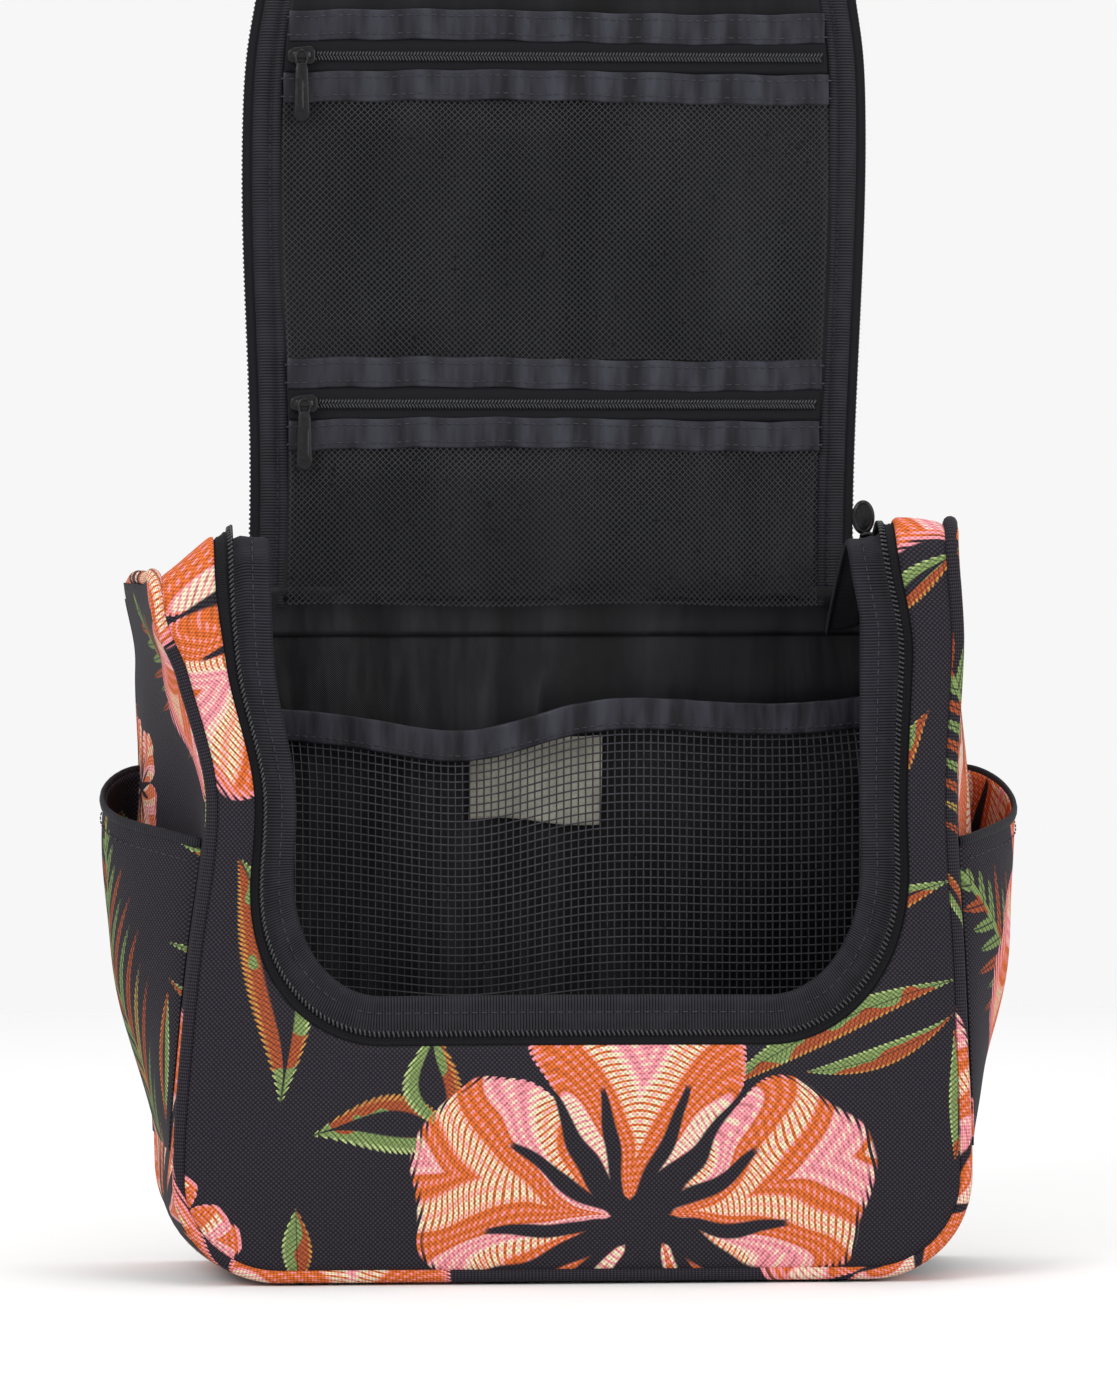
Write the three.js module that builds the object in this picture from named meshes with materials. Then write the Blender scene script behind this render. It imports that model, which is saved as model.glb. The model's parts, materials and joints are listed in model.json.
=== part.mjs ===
// A hanging toiletry bag: a soft box bag that stands on its base, with a lid on a
// U-shaped zip that opens upwards and carries two zipped net pockets and a hook.
//
// Millimetres, +Z up, the bag's front towards -Y, its right side towards +X. The
// origin is the middle of the flat base. The lid is shown open and standing up.

import * as THREE from 'three';

// Body sizes
const FRONT_WIDTH = 247;
const BACK_WIDTH = 262;
const FRONT_HEIGHT = 241;
const DEPTH = 86;
const BASE_CORNER_RADIUS = 31;
const TOP_EDGE_RADIUS = 14;
const ZIP_SLOPE = 25; // degrees, how the zip line falls from the front edge back to the hinge
const SHOULDER_SLOPE = 12; // degrees, how the shoulders' outer edges fall to the back
const PANEL = 2;
const LINING = 1.2;
const PIPING_RADIUS = 2.2;
const GAP = 0.3; // kept between pieces that are sewn or lie against each other

// The U-shaped opening, measured on the closed zip's centre line
const OPENING_WIDTH = 204;
const OPENING_BOTTOM = 80;
const OPENING_CORNER_WIDTH = 41;
const OPENING_CORNER_HEIGHT = 53;

// Zip along the opening: half widths from its centre line
const ZIP_SPLIT = 0.8;
const TEETH_WIDTH = 1.6;
const TEETH_THICKNESS = 1.5;
const TAPE_SHOWN = 3;
const TAPE_WIDTH = 8;
const TAPE_THICKNESS = 0.8;
const TAPE_UNDER_PANEL = 0.4;
const ZIP_REAR_CLEARANCE = 5;
const BINDING_WIDTH = 11.5;
const BODY_BINDING_THICKNESS = 1.5;

// Pockets on the body
const SIDE_POCKET_BASE = 42;
const SIDE_POCKET_FRONT_HEM = 138;
const SIDE_POCKET_REAR_HEM = 158;
const SIDE_POCKET_BULGE = 24;
const SIDE_POCKET_FABRIC = 1.5;
const INNER_POCKET_TOP = 182;
const INNER_POCKET_HEM = 10;
const INNER_POCKET_GAP = 7; // room between the net and the back lining
const INNER_POCKET_NET = 2;
const LABEL_WIDTH = 43;
const LABEL_HEIGHT = 27;
const LABEL_CENTRE = [-8, 156];
const LABEL_THICKNESS = 0.6;

// Lid, measured along it from the hinge
const LID_LEAN = 3; // degrees back from upright
const LID_HINGE_CLEARANCE = 2;
const LID_PAD = 3.1;
const LID_BINDING_WIDTH = 10;
const LID_BINDING_THICKNESS = 2;
const LID_FIELD_MARGIN = 13.5; // zip centre line to the edge of the pad and lining
const POCKET_NET = 1.4;
const POCKET_TRIM = 1.7;
const POCKET_TRIM_WIDTH = 9.7;
const POCKET_ZIP_WIDTH = 10; // between the two trims
const POCKET_COIL_WIDTH = 2.4;
const POCKET_COIL = 1;
const LOWER_POCKET_START = 3;
const LOWER_ZIP_BEFORE_FOLD = 24;
const UPPER_POCKET_START = 16; // past the lid's fold
const UPPER_ZIP_PAST_FOLD = 89;
const CARRY_HANDLE_LENGTH = 90;
const CARRY_HANDLE_WIDTH = 20;
const CARRY_HANDLE_RISE = 14;

// Sliders and pulls
const SLIDER_LENGTH = 9;
const SLIDER_WIDTH = 7;
const SLIDER_PLATE = 1.5;
const SLIDER_END_MARGIN = 5; // a slider's centre to the end of its zip
const PULL_LENGTH = 22;
const PULL_TOP_WIDTH = 4;
const PULL_WIDTH = 5;
const PULL_THICKNESS = 1.2;
const MAIN_SLIDER_LENGTH = 10;
const MAIN_SLIDER_WIDTH = 5.2;
const MAIN_SLIDER_PLATE = 1.2;
const MAIN_SLIDER_POST = 1;
const MAIN_SLIDER_AT = 8; // behind the end of the rounded top edge
const MAIN_PULL_WIDTH = 7.4;
const MAIN_PULL_LENGTH = 11;

// Hook
const TAB_WIDTH = 25;
const TAB_SEWN = 30;
const TAB_OVERHANG = 3;
const TAB_THICKNESS = 1.5;
const HOOK_OFFSET = 5; // the hook's plane, outside the lid's middle plane
const HOOK_BASE_WIDTH = 18;
const HOOK_BASE_HEIGHT = 9.5;
const HOOK_BASE_THICKNESS = 5;
const HOOK_STEM = 12;
const HOOK_BEND_RADIUS = 17;
const HOOK_WIRE_RADIUS = 2.5;
const HOOK_TURN = 290; // degrees that the wire bends round

// Worked-out places
const radians = THREE.MathUtils.degToRad;
const mix = THREE.MathUtils.lerp;
const FRONT_Y = -DEPTH / 2;
const BACK_Y = DEPTH / 2;
const SEAM = 2 * PIPING_RADIUS + 0.2 + GAP; // an edge of a panel, in from the corner it is piped to
const PIPING_INSET = PIPING_RADIUS + 0.2;
const OPENING_HALF = OPENING_WIDTH / 2;
const PRINT_EDGE = ZIP_SPLIT + TEETH_WIDTH + TAPE_SHOWN;
// Depths below the outer fabric: the tape is sewn under the panel, its teeth lie on it,
// and the body's binding stands clear inside the closed lid's own.
const TAPE_DEPTH = PANEL + TAPE_UNDER_PANEL;
const TEETH_DEPTH = TAPE_DEPTH - GAP - TEETH_THICKNESS;
const FACING_DEPTH = TAPE_DEPTH + TAPE_THICKNESS + GAP;
const BODY_BINDING_DEPTH = FACING_DEPTH + LID_BINDING_THICKNESS + 2 * GAP;
const SIDE_TOP = FRONT_HEIGHT - TOP_EDGE_RADIUS; // where the front starts to round over
const MID_WALL = PANEL / 2;
const OUTER_CORNER_Z = SIDE_TOP + TOP_EDGE_RADIUS * Math.tan(radians((90 + ZIP_SLOPE) / 2));
const FOLD_Z = OUTER_CORNER_Z - MID_WALL * (Math.tan(radians(ZIP_SLOPE)) + 1 / Math.cos(radians(ZIP_SLOPE)));
const HINGE_Y = BACK_Y - MID_WALL;
const HINGE_Z = FOLD_Z - (DEPTH - PANEL) * Math.tan(radians(ZIP_SLOPE));
const FOLD_AT = (DEPTH - PANEL) / Math.cos(radians(ZIP_SLOPE));
const TIP_AT = FOLD_AT + FOLD_Z - OPENING_BOTTOM;
const BACK_LINING_Y = BACK_Y - PANEL - GAP - LINING;

// Steps along curved stretches
const STRAIGHT_STEPS = 2;
const CORNER_STEPS = 7;
const TUBE_STEP = 8;

const bag = new THREE.Group();

function material(color, roughness, metalness = 0) {
  return new THREE.MeshStandardMaterial({ color, roughness, metalness });
}

const FINISHES = {
  printedCanvas: material(0x35303a, 0.9),
  pipingFabric: material(0xa8643c, 0.85),
  satin: material(0x24242a, 0.45),
  net: material(0x1e1d21, 0.7),
  grosgrain: material(0x2a292e, 0.8),
  zipTape: material(0x1b1a1e, 0.85),
  zipTeeth: material(0x3a3c42, 0.35),
  blackMetal: material(0x222226, 0.35, 0.6),
  hookPlastic: material(0x1a1a1d, 0.4),
  webbing: material(0x232227, 0.85),
  label: material(0xd9d3c2, 0.8),
  foam: material(0x6b6b70, 0.95),
};

function add(parent, name, geometry, finish) {
  const mesh = new THREE.Mesh(geometry, finish);
  mesh.name = name;
  parent.add(mesh);
  return mesh;
}

function signedVolume(points, faces) {
  let volume = 0;
  for (let i = 0; i < faces.length; i += 3) {
    const [a, b, c] = [points[faces[i]], points[faces[i + 1]], points[faces[i + 2]]];
    volume += a.dot(new THREE.Vector3().crossVectors(b, c)) / 6;
  }
  return volume;
}

// A closed solid between two surfaces, each a function of u and v from 0 to 1:
// both faces as grids, joined round their four edges.
function sheet(outer, inner, across, along) {
  const points = [];
  for (const surface of [outer, inner]) {
    for (let row = 0; row <= along; row++) {
      for (let column = 0; column <= across; column++) {
        points.push(surface(column / across, row / along));
      }
    }
  }
  const side = (across + 1) * (along + 1);
  const at = (face, column, row) => face * side + row * (across + 1) + column;
  const faces = [];
  const quad = (a, b, c, d) => faces.push(a, b, c, a, c, d);
  for (let row = 0; row < along; row++) {
    for (let column = 0; column < across; column++) {
      quad(at(0, column, row), at(0, column + 1, row), at(0, column + 1, row + 1), at(0, column, row + 1));
      quad(at(1, column, row), at(1, column, row + 1), at(1, column + 1, row + 1), at(1, column + 1, row));
    }
    quad(at(0, 0, row), at(0, 0, row + 1), at(1, 0, row + 1), at(1, 0, row));
    quad(at(0, across, row + 1), at(0, across, row), at(1, across, row), at(1, across, row + 1));
  }
  for (let column = 0; column < across; column++) {
    quad(at(0, column + 1, 0), at(0, column, 0), at(1, column, 0), at(1, column + 1, 0));
    quad(at(0, column, along), at(0, column + 1, along), at(1, column + 1, along), at(1, column, along));
  }
  if (signedVolume(points, faces) < 0) faces.reverse();
  const geometry = new THREE.BufferGeometry().setFromPoints(points);
  geometry.setIndex(faces);
  geometry.computeVertexNormals();
  return geometry;
}

function block(x0, x1, y0, y1, z0, z1) {
  const geometry = new THREE.BoxGeometry(x1 - x0, y1 - y0, z1 - z0);
  return geometry.translate((x0 + x1) / 2, (y0 + y1) / 2, (z0 + z1) / 2);
}

// Splits a route's long spans, so that a smooth curve through it keeps them straight.
function inShortSpans(points, longest) {
  const route = [points[0]];
  for (let i = 1; i < points.length; i++) {
    const [from, to] = [points[i - 1], points[i]];
    const parts = Math.ceil(from.distanceTo(to) / longest);
    for (let k = 1; k <= parts; k++) route.push(new THREE.Vector3().lerpVectors(from, to, k / parts));
  }
  return route;
}

function tube(points, radius, sides) {
  const route = inShortSpans(points, TUBE_STEP);
  const section = new THREE.Shape(new THREE.Path().absarc(0, 0, radius, 0, 2 * Math.PI).getPoints(sides / 2));
  const extrudePath = new THREE.CatmullRomCurve3(route);
  return new THREE.ExtrudeGeometry(section, { steps: route.length - 1, extrudePath, bevelEnabled: false });
}

// The body's half width at a depth: the sides splay towards the back.
function halfWidth(y) {
  return mix(FRONT_WIDTH, BACK_WIDTH, (y - FRONT_Y) / DEPTH) / 2;
}

// The body seen from the side: up the front, round the top edge and down a slope to
// the back. Each station gives the point at a depth below the outer fabric.
function topProfile(slope, rearY) {
  const fall = radians(slope);
  const turn = Math.PI / 2 + fall;
  const stations = [];
  const onArc = (angle, depth) => ({
    y: FRONT_Y + TOP_EDGE_RADIUS - (TOP_EDGE_RADIUS - depth) * Math.cos(angle),
    z: SIDE_TOP + (TOP_EDGE_RADIUS - depth) * Math.sin(angle),
  });
  for (let i = 0; i <= CORNER_STEPS; i++) {
    stations.push((depth) => onArc((turn * i) / CORNER_STEPS, depth));
  }
  const straight = (rearY - onArc(turn, 0).y) / Math.cos(fall);
  for (let i = 1; i <= STRAIGHT_STEPS; i++) {
    stations.push((depth) => {
      const start = onArc(turn, depth);
      const run = (straight * i) / STRAIGHT_STEPS;
      return { y: start.y + run * Math.cos(fall), z: start.z - run * Math.sin(fall) };
    });
  }
  return stations;
}

// The height of the shoulders' outer edge at a place from front to back.
function shoulderHeight(y, depth) {
  const radius = TOP_EDGE_RADIUS - depth;
  const fromCentre = y - (FRONT_Y + TOP_EDGE_RADIUS);
  const fall = radians(SHOULDER_SLOPE);
  const pastArc = fromCentre - radius * Math.sin(fall);
  if (pastArc > 0) return SIDE_TOP + radius * Math.cos(fall) - pastArc * Math.tan(fall);
  return SIDE_TOP + Math.sqrt(Math.max(0, radius ** 2 - fromCentre ** 2));
}

// The right half of the opening on the front, from the bottom's middle to the top of
// the straight side. Each station gives x and z at an offset outwards from the zip.
function openingHalf(topZ) {
  const stations = [];
  const cornerX = OPENING_HALF - OPENING_CORNER_WIDTH;
  const cornerZ = OPENING_BOTTOM + OPENING_CORNER_HEIGHT;
  for (let i = 0; i < STRAIGHT_STEPS; i++) {
    stations.push((offset) => ({ x: (cornerX * i) / STRAIGHT_STEPS, z: OPENING_BOTTOM - offset }));
  }
  for (let i = 0; i <= CORNER_STEPS; i++) {
    const angle = (Math.PI / 2) * (i / CORNER_STEPS);
    stations.push((offset) => ({
      x: cornerX + (OPENING_CORNER_WIDTH + offset) * Math.sin(angle),
      z: cornerZ - (OPENING_CORNER_HEIGHT + offset) * Math.cos(angle),
    }));
  }
  for (let i = 1; i <= STRAIGHT_STEPS; i++) {
    stations.push((offset) => ({ x: OPENING_HALF + offset, z: mix(cornerZ, topZ, i / STRAIGHT_STEPS) }));
  }
  return stations;
}

// The outer outline that the front panel shares with its piping, matched station by
// station with openingHalf.
function outlineHalf(inset, topZ) {
  const stations = [];
  const half = FRONT_WIDTH / 2;
  const cornerX = half - BASE_CORNER_RADIUS;
  for (let i = 0; i < STRAIGHT_STEPS; i++) {
    stations.push({ x: (cornerX * i) / STRAIGHT_STEPS, z: inset });
  }
  for (let i = 0; i <= CORNER_STEPS; i++) {
    const angle = (Math.PI / 2) * (i / CORNER_STEPS);
    stations.push({
      x: cornerX + (BASE_CORNER_RADIUS - inset) * Math.sin(angle),
      z: BASE_CORNER_RADIUS - (BASE_CORNER_RADIUS - inset) * Math.cos(angle),
    });
  }
  for (let i = 1; i <= STRAIGHT_STEPS; i++) {
    stations.push({ x: half - inset, z: mix(BASE_CORNER_RADIUS, topZ, i / STRAIGHT_STEPS) });
  }
  return stations;
}

// Carries a half's stations to both sides: index 0 is the left end, the last the right.
function bothSides(half) {
  const left = half.slice(1).reverse().map((station) => ({ side: -1, station }));
  return [...left, ...half.map((station) => ({ side: 1, station }))];
}

// A band of the front between the opening and the outer outline, at a depth.
function frontBand(offset, inset, depth, thickness) {
  const topZ = SIDE_TOP - GAP;
  const inner = bothSides(openingHalf(topZ));
  const outer = bothSides(outlineHalf(inset, topZ));
  const last = inner.length - 1;
  const surface = (y) => (u, v) => {
    const k = Math.round(v * last);
    const a = inner[k].station(offset);
    const b = outer[k].station;
    return new THREE.Vector3(inner[k].side * mix(a.x, b.x, u), y, mix(a.z, b.z, u));
  };
  return sheet(surface(FRONT_Y + depth), surface(FRONT_Y + depth + thickness), 1, last);
}

// A strip that follows the whole zip line of the body: up each shoulder from the
// hinge, over the top edge and round the U, between two offsets from the zip.
function zipBand(from, to, depth, thickness, overShoulders = true) {
  const rearY = BACK_Y - PANEL - ZIP_REAR_CLEARANCE;
  const front = openingHalf(SIDE_TOP).map((station) => (offset, below) => {
    const p = station(offset);
    return new THREE.Vector3(p.x, FRONT_Y + below, p.z);
  });
  const top = topProfile(ZIP_SLOPE, rearY).slice(1).map((station) => (offset, below) => {
    const p = station(below);
    return new THREE.Vector3(OPENING_HALF + offset, p.y, p.z);
  });
  const stations = bothSides(overShoulders ? [...front, ...top] : front);
  const last = stations.length - 1;
  const surface = (below) => (u, v) => {
    const { side, station } = stations[Math.round(v * last)];
    const p = station(mix(from, to, u), below);
    return p.setX(side * p.x);
  };
  return sheet(surface(depth), surface(depth + thickness), 1, last);
}

// One shoulder: the strip between the zip and the piping, over the rounded top edge.
function shoulder(side) {
  const rearY = BACK_Y - PANEL - GAP;
  const byZip = topProfile(ZIP_SLOPE, rearY);
  const byPiping = topProfile(SHOULDER_SLOPE, rearY);
  const last = byZip.length - 1;
  const surface = (depth) => (u, v) => {
    const k = Math.round(v * last);
    const a = byZip[k](depth);
    const b = byPiping[k](depth);
    const y = mix(a.y, b.y, u);
    return new THREE.Vector3(side * mix(OPENING_HALF + PRINT_EDGE, halfWidth(y) - SEAM, u), y, mix(a.z, b.z, u));
  };
  return sheet(surface(0), surface(PANEL), 1, last);
}

// A side of the body, from the base round its corner and up to the shoulder.
function sideSheet(side, inset, thickness, edge, topDepth) {
  const frontY = FRONT_Y + edge;
  const backY = BACK_Y - edge;
  const cornerShare = 0.5;
  const surface = (below) => (u, v) => {
    const y = mix(frontY, backY, u);
    const angle = (Math.PI / 2) * Math.min(1, v / cornerShare);
    const radius = BASE_CORNER_RADIUS - below;
    const x = halfWidth(y) - BASE_CORNER_RADIUS + radius * Math.sin(angle);
    const top = shoulderHeight(y, topDepth);
    const rise = Math.max(0, (v - cornerShare) / (1 - cornerShare));
    const z = v <= cornerShare ? BASE_CORNER_RADIUS - radius * Math.cos(angle) : mix(BASE_CORNER_RADIUS, top, rise);
    return new THREE.Vector3(side * x, y, z);
  };
  return sheet(surface(inset), surface(inset + thickness), 6, 8);
}

// The flat base between the two corner curves.
function baseSheet(inset, thickness, edge) {
  const surface = (z) => (u, v) => {
    const y = mix(FRONT_Y + edge, BACK_Y - edge, v);
    const half = halfWidth(y) - BASE_CORNER_RADIUS - GAP;
    return new THREE.Vector3(mix(-half, half, u), y, z);
  };
  return sheet(surface(inset), surface(inset + thickness), 1, 1);
}

// An upright sheet at the back with the base's rounded corners. Its top runs level
// between the shoulders and rises to their outer edges.
function backSheet(inset, topZ, cornerZ, y, thickness) {
  const half = BACK_WIDTH / 2 - inset;
  const radius = BASE_CORNER_RADIUS - inset;
  const outline = new THREE.Shape();
  outline.moveTo(-half, cornerZ);
  outline.absarc(-half + radius, inset + radius, radius, Math.PI, 1.5 * Math.PI);
  outline.absarc(half - radius, inset + radius, radius, 1.5 * Math.PI, 2 * Math.PI);
  outline.lineTo(half, cornerZ);
  outline.lineTo(OPENING_HALF + ZIP_SPLIT, topZ);
  outline.lineTo(-OPENING_HALF - ZIP_SPLIT, topZ);
  const geometry = new THREE.ExtrudeGeometry(outline, { depth: thickness, bevelEnabled: false, curveSegments: 6 });
  return geometry.rotateX(Math.PI / 2).translate(0, y + thickness, 0);
}

// The outer edge line that the front piping is sewn along.
function frontPipingPoints() {
  const rearY = BACK_Y - SEAM - PIPING_RADIUS;
  const front = outlineHalf(PIPING_INSET, SIDE_TOP).map(
    (p) => new THREE.Vector3(p.x, FRONT_Y + PIPING_INSET, p.z),
  );
  const top = topProfile(SHOULDER_SLOPE, rearY).slice(1).map((station) => {
    const p = station(PIPING_INSET);
    return new THREE.Vector3(halfWidth(p.y) - PIPING_INSET, p.y, p.z);
  });
  return bothSides([...front, ...top]).map(({ side, station }) => station.clone().setX(side * station.x));
}

function backPipingPoints() {
  const half = BACK_WIDTH / 2;
  const topZ = shoulderHeight(BACK_Y, PIPING_INSET) - PIPING_RADIUS;
  const radius = BASE_CORNER_RADIUS - PIPING_INSET;
  const y = BACK_Y - PIPING_INSET;
  const stations = [];
  for (let i = 0; i < STRAIGHT_STEPS; i++) {
    stations.push(new THREE.Vector3(((half - BASE_CORNER_RADIUS) * i) / STRAIGHT_STEPS, y, PIPING_INSET));
  }
  for (let i = 0; i <= CORNER_STEPS; i++) {
    const angle = (Math.PI / 2) * (i / CORNER_STEPS);
    const x = half - BASE_CORNER_RADIUS + radius * Math.sin(angle);
    stations.push(new THREE.Vector3(x, y, BASE_CORNER_RADIUS - radius * Math.cos(angle)));
  }
  for (let i = 1; i <= STRAIGHT_STEPS; i++) {
    stations.push(new THREE.Vector3(half - PIPING_INSET, y, mix(BASE_CORNER_RADIUS, topZ, i / STRAIGHT_STEPS)));
  }
  return bothSides(stations).map(({ side, station }) => station.clone().setX(side * station.x));
}

// A side pocket: fabric sewn to the side along its base and both edges, slack at the hem.
function sidePocket(side) {
  const margin = SEAM + 1;
  const surface = (proud) => (u, v) => {
    const y = mix(FRONT_Y + margin, BACK_Y - margin, u);
    const hem = mix(SIDE_POCKET_FRONT_HEM, SIDE_POCKET_REAR_HEM, u);
    const slack = SIDE_POCKET_BULGE * Math.sin(Math.PI * u) ** 0.7 * Math.sin((Math.PI / 2) * v);
    return new THREE.Vector3(side * (halfWidth(y) + GAP + slack + proud), y, mix(SIDE_POCKET_BASE, hem, v));
  };
  return sheet(surface(SIDE_POCKET_FABRIC), surface(0), 8, 5);
}

function buildBody() {
  const canvas = FINISHES.printedCanvas;
  add(bag, 'front_panel', frontBand(PRINT_EDGE, SEAM, 0, PANEL), canvas);
  add(bag, 'lining_front', frontBand(PRINT_EDGE - TAPE_SHOWN, SEAM + LINING, FACING_DEPTH, LINING), FINISHES.satin);
  for (const [name, side] of [['left', -1], ['right', 1]]) {
    add(bag, `shoulder_${name}`, shoulder(side), canvas);
    add(bag, `side_panel_${name}`, sideSheet(side, 0, PANEL, SEAM, SEAM), canvas);
    add(bag, `side_pocket_${name}`, sidePocket(side), canvas);
    add(bag, `lining_${name}`, sideSheet(side, PANEL + GAP, LINING, SEAM + GAP, SEAM + LINING), FINISHES.satin);
  }
  add(bag, 'bottom_panel', baseSheet(0, PANEL, SEAM), canvas);
  add(bag, 'lining_bottom', baseSheet(PANEL + GAP, LINING, SEAM + GAP), FINISHES.satin);
  const shoulderRear = shoulderHeight(BACK_Y, SEAM);
  const hingeEdge = HINGE_Z - LID_HINGE_CLEARANCE;
  add(bag, 'back_panel', backSheet(SEAM, hingeEdge, shoulderRear, BACK_Y - PANEL, PANEL), canvas);
  const liningTop = HINGE_Z - SEAM - LINING;
  add(bag, 'lining_back', backSheet(SEAM + LINING, liningTop, liningTop, BACK_LINING_Y, LINING), FINISHES.satin);
  add(bag, 'piping_front', tube(frontPipingPoints(), PIPING_RADIUS, 6), FINISHES.pipingFabric);
  add(bag, 'piping_back', tube(backPipingPoints(), PIPING_RADIUS, 6), FINISHES.pipingFabric);
}

function buildBodyZip() {
  const outer = ZIP_SPLIT + GAP / 2;
  add(bag, 'zip_teeth_body', zipBand(ZIP_SPLIT, ZIP_SPLIT + TEETH_WIDTH, TEETH_DEPTH, TEETH_THICKNESS), FINISHES.zipTeeth);
  add(bag, 'zip_tape_body', zipBand(outer, outer + TAPE_WIDTH, TAPE_DEPTH, TAPE_THICKNESS), FINISHES.zipTape);
  const inward = PRINT_EDGE - TAPE_SHOWN - BINDING_WIDTH;
  const binding = zipBand(inward, inward + BINDING_WIDTH, BODY_BINDING_DEPTH, BODY_BINDING_THICKNESS, false);
  add(bag, 'opening_binding', binding, FINISHES.grosgrain);
}

function buildInnerPocket() {
  const half = BACK_WIDTH / 2 - BASE_CORNER_RADIUS;
  const back = BACK_LINING_Y - INNER_POCKET_GAP;
  const front = back - INNER_POCKET_NET;
  const hemBase = INNER_POCKET_TOP - INNER_POCKET_HEM;
  const floor = PANEL + LINING + 2 * GAP;
  add(bag, 'mesh_pocket_inner', block(-half, half, front, back, floor, hemBase), FINISHES.net);
  const hem = block(-half, half, front - GAP, back + GAP, hemBase + GAP, INNER_POCKET_TOP);
  add(bag, 'mesh_pocket_hem', hem, FINISHES.satin);
  const [x, z] = LABEL_CENTRE;
  const labelBack = BACK_LINING_Y - GAP;
  const [wide, high] = [LABEL_WIDTH / 2, LABEL_HEIGHT / 2];
  const label = block(x - wide, x + wide, labelBack - LABEL_THICKNESS, labelBack, z - high, z + high);
  add(bag, 'care_label', label, FINISHES.label);
}

// The lid's own frame: x across, y out through the outer fabric, z along from the hinge.
const lid = new THREE.Group();
lid.position.set(0, HINGE_Y, HINGE_Z);
lid.rotation.x = -radians(LID_LEAN);
bag.add(lid);

// Layers through the lid, inwards from its middle plane
const INNER_FACE = -MID_WALL - GAP;
const LINING_TOP = INNER_FACE - LID_PAD - GAP;
const POCKET_TOP = LINING_TOP - LINING - GAP;
const TEETH_TOP = MID_WALL - TEETH_DEPTH;
const TAPE_TOP = MID_WALL - TAPE_DEPTH;
const LID_BINDING_TOP = TAPE_TOP - TAPE_THICKNESS - GAP;

// How far a piece keeps from the fold, so that both halves' layers clear when it closes.
function foldClearance(depth) {
  return depth * Math.tan(radians((90 + ZIP_SLOPE) / 2)) + 2;
}

// The lid's half width at a place along it, in from the zip's centre line: straight
// sides, then the opening's own corner curves.
function lidHalfWidth(along, inset) {
  const cornerStart = TIP_AT - OPENING_CORNER_HEIGHT;
  const rise = THREE.MathUtils.clamp((along - cornerStart) / (OPENING_CORNER_HEIGHT - inset), 0, 1);
  const cornerX = OPENING_HALF - OPENING_CORNER_WIDTH;
  return cornerX + (OPENING_CORNER_WIDTH - inset) * Math.sqrt(1 - rise ** 2);
}

// A flat layer of the lid between two places along it.
function lidLayer(start, end, inset, top, thickness) {
  const cornerStart = TIP_AT - OPENING_CORNER_HEIGHT;
  const rounded = end > cornerStart;
  const steps = rounded ? CORNER_STEPS + 1 : 1;
  const alongAt = (v) => {
    const k = Math.round(v * steps);
    if (!rounded) return mix(start, end, v);
    return k === 0 ? start : cornerStart + (end - cornerStart) * Math.sin((Math.PI / 2) * ((k - 1) / CORNER_STEPS));
  };
  const surface = (y) => (u, v) => {
    const along = alongAt(v);
    const half = lidHalfWidth(along, inset);
    return new THREE.Vector3(mix(-half, half, u), y, along);
  };
  return sheet(surface(top), surface(top - thickness), 1, steps);
}

// A band round the lid's front half, between two insets from the zip's centre line.
function lidRim(start, from, to, top, thickness) {
  const cornerX = OPENING_HALF - OPENING_CORNER_WIDTH;
  const cornerStart = TIP_AT - OPENING_CORNER_HEIGHT;
  const half = [];
  for (let i = 0; i < STRAIGHT_STEPS; i++) {
    half.push((inset) => ({ x: (cornerX * i) / STRAIGHT_STEPS, z: TIP_AT - inset }));
  }
  for (let i = 0; i <= CORNER_STEPS; i++) {
    const angle = (Math.PI / 2) * (i / CORNER_STEPS);
    half.push((inset) => ({
      x: cornerX + (OPENING_CORNER_WIDTH - inset) * Math.sin(angle),
      z: cornerStart + (OPENING_CORNER_HEIGHT - inset) * Math.cos(angle),
    }));
  }
  half.push((inset) => ({ x: OPENING_HALF - inset, z: start }));
  const stations = bothSides(half);
  const last = stations.length - 1;
  const surface = (y) => (u, v) => {
    const { side, station } = stations[Math.round(v * last)];
    const p = station(mix(from, to, u));
    return new THREE.Vector3(side * p.x, y, p.z);
  };
  return sheet(surface(top), surface(top - thickness), 1, last);
}

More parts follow.
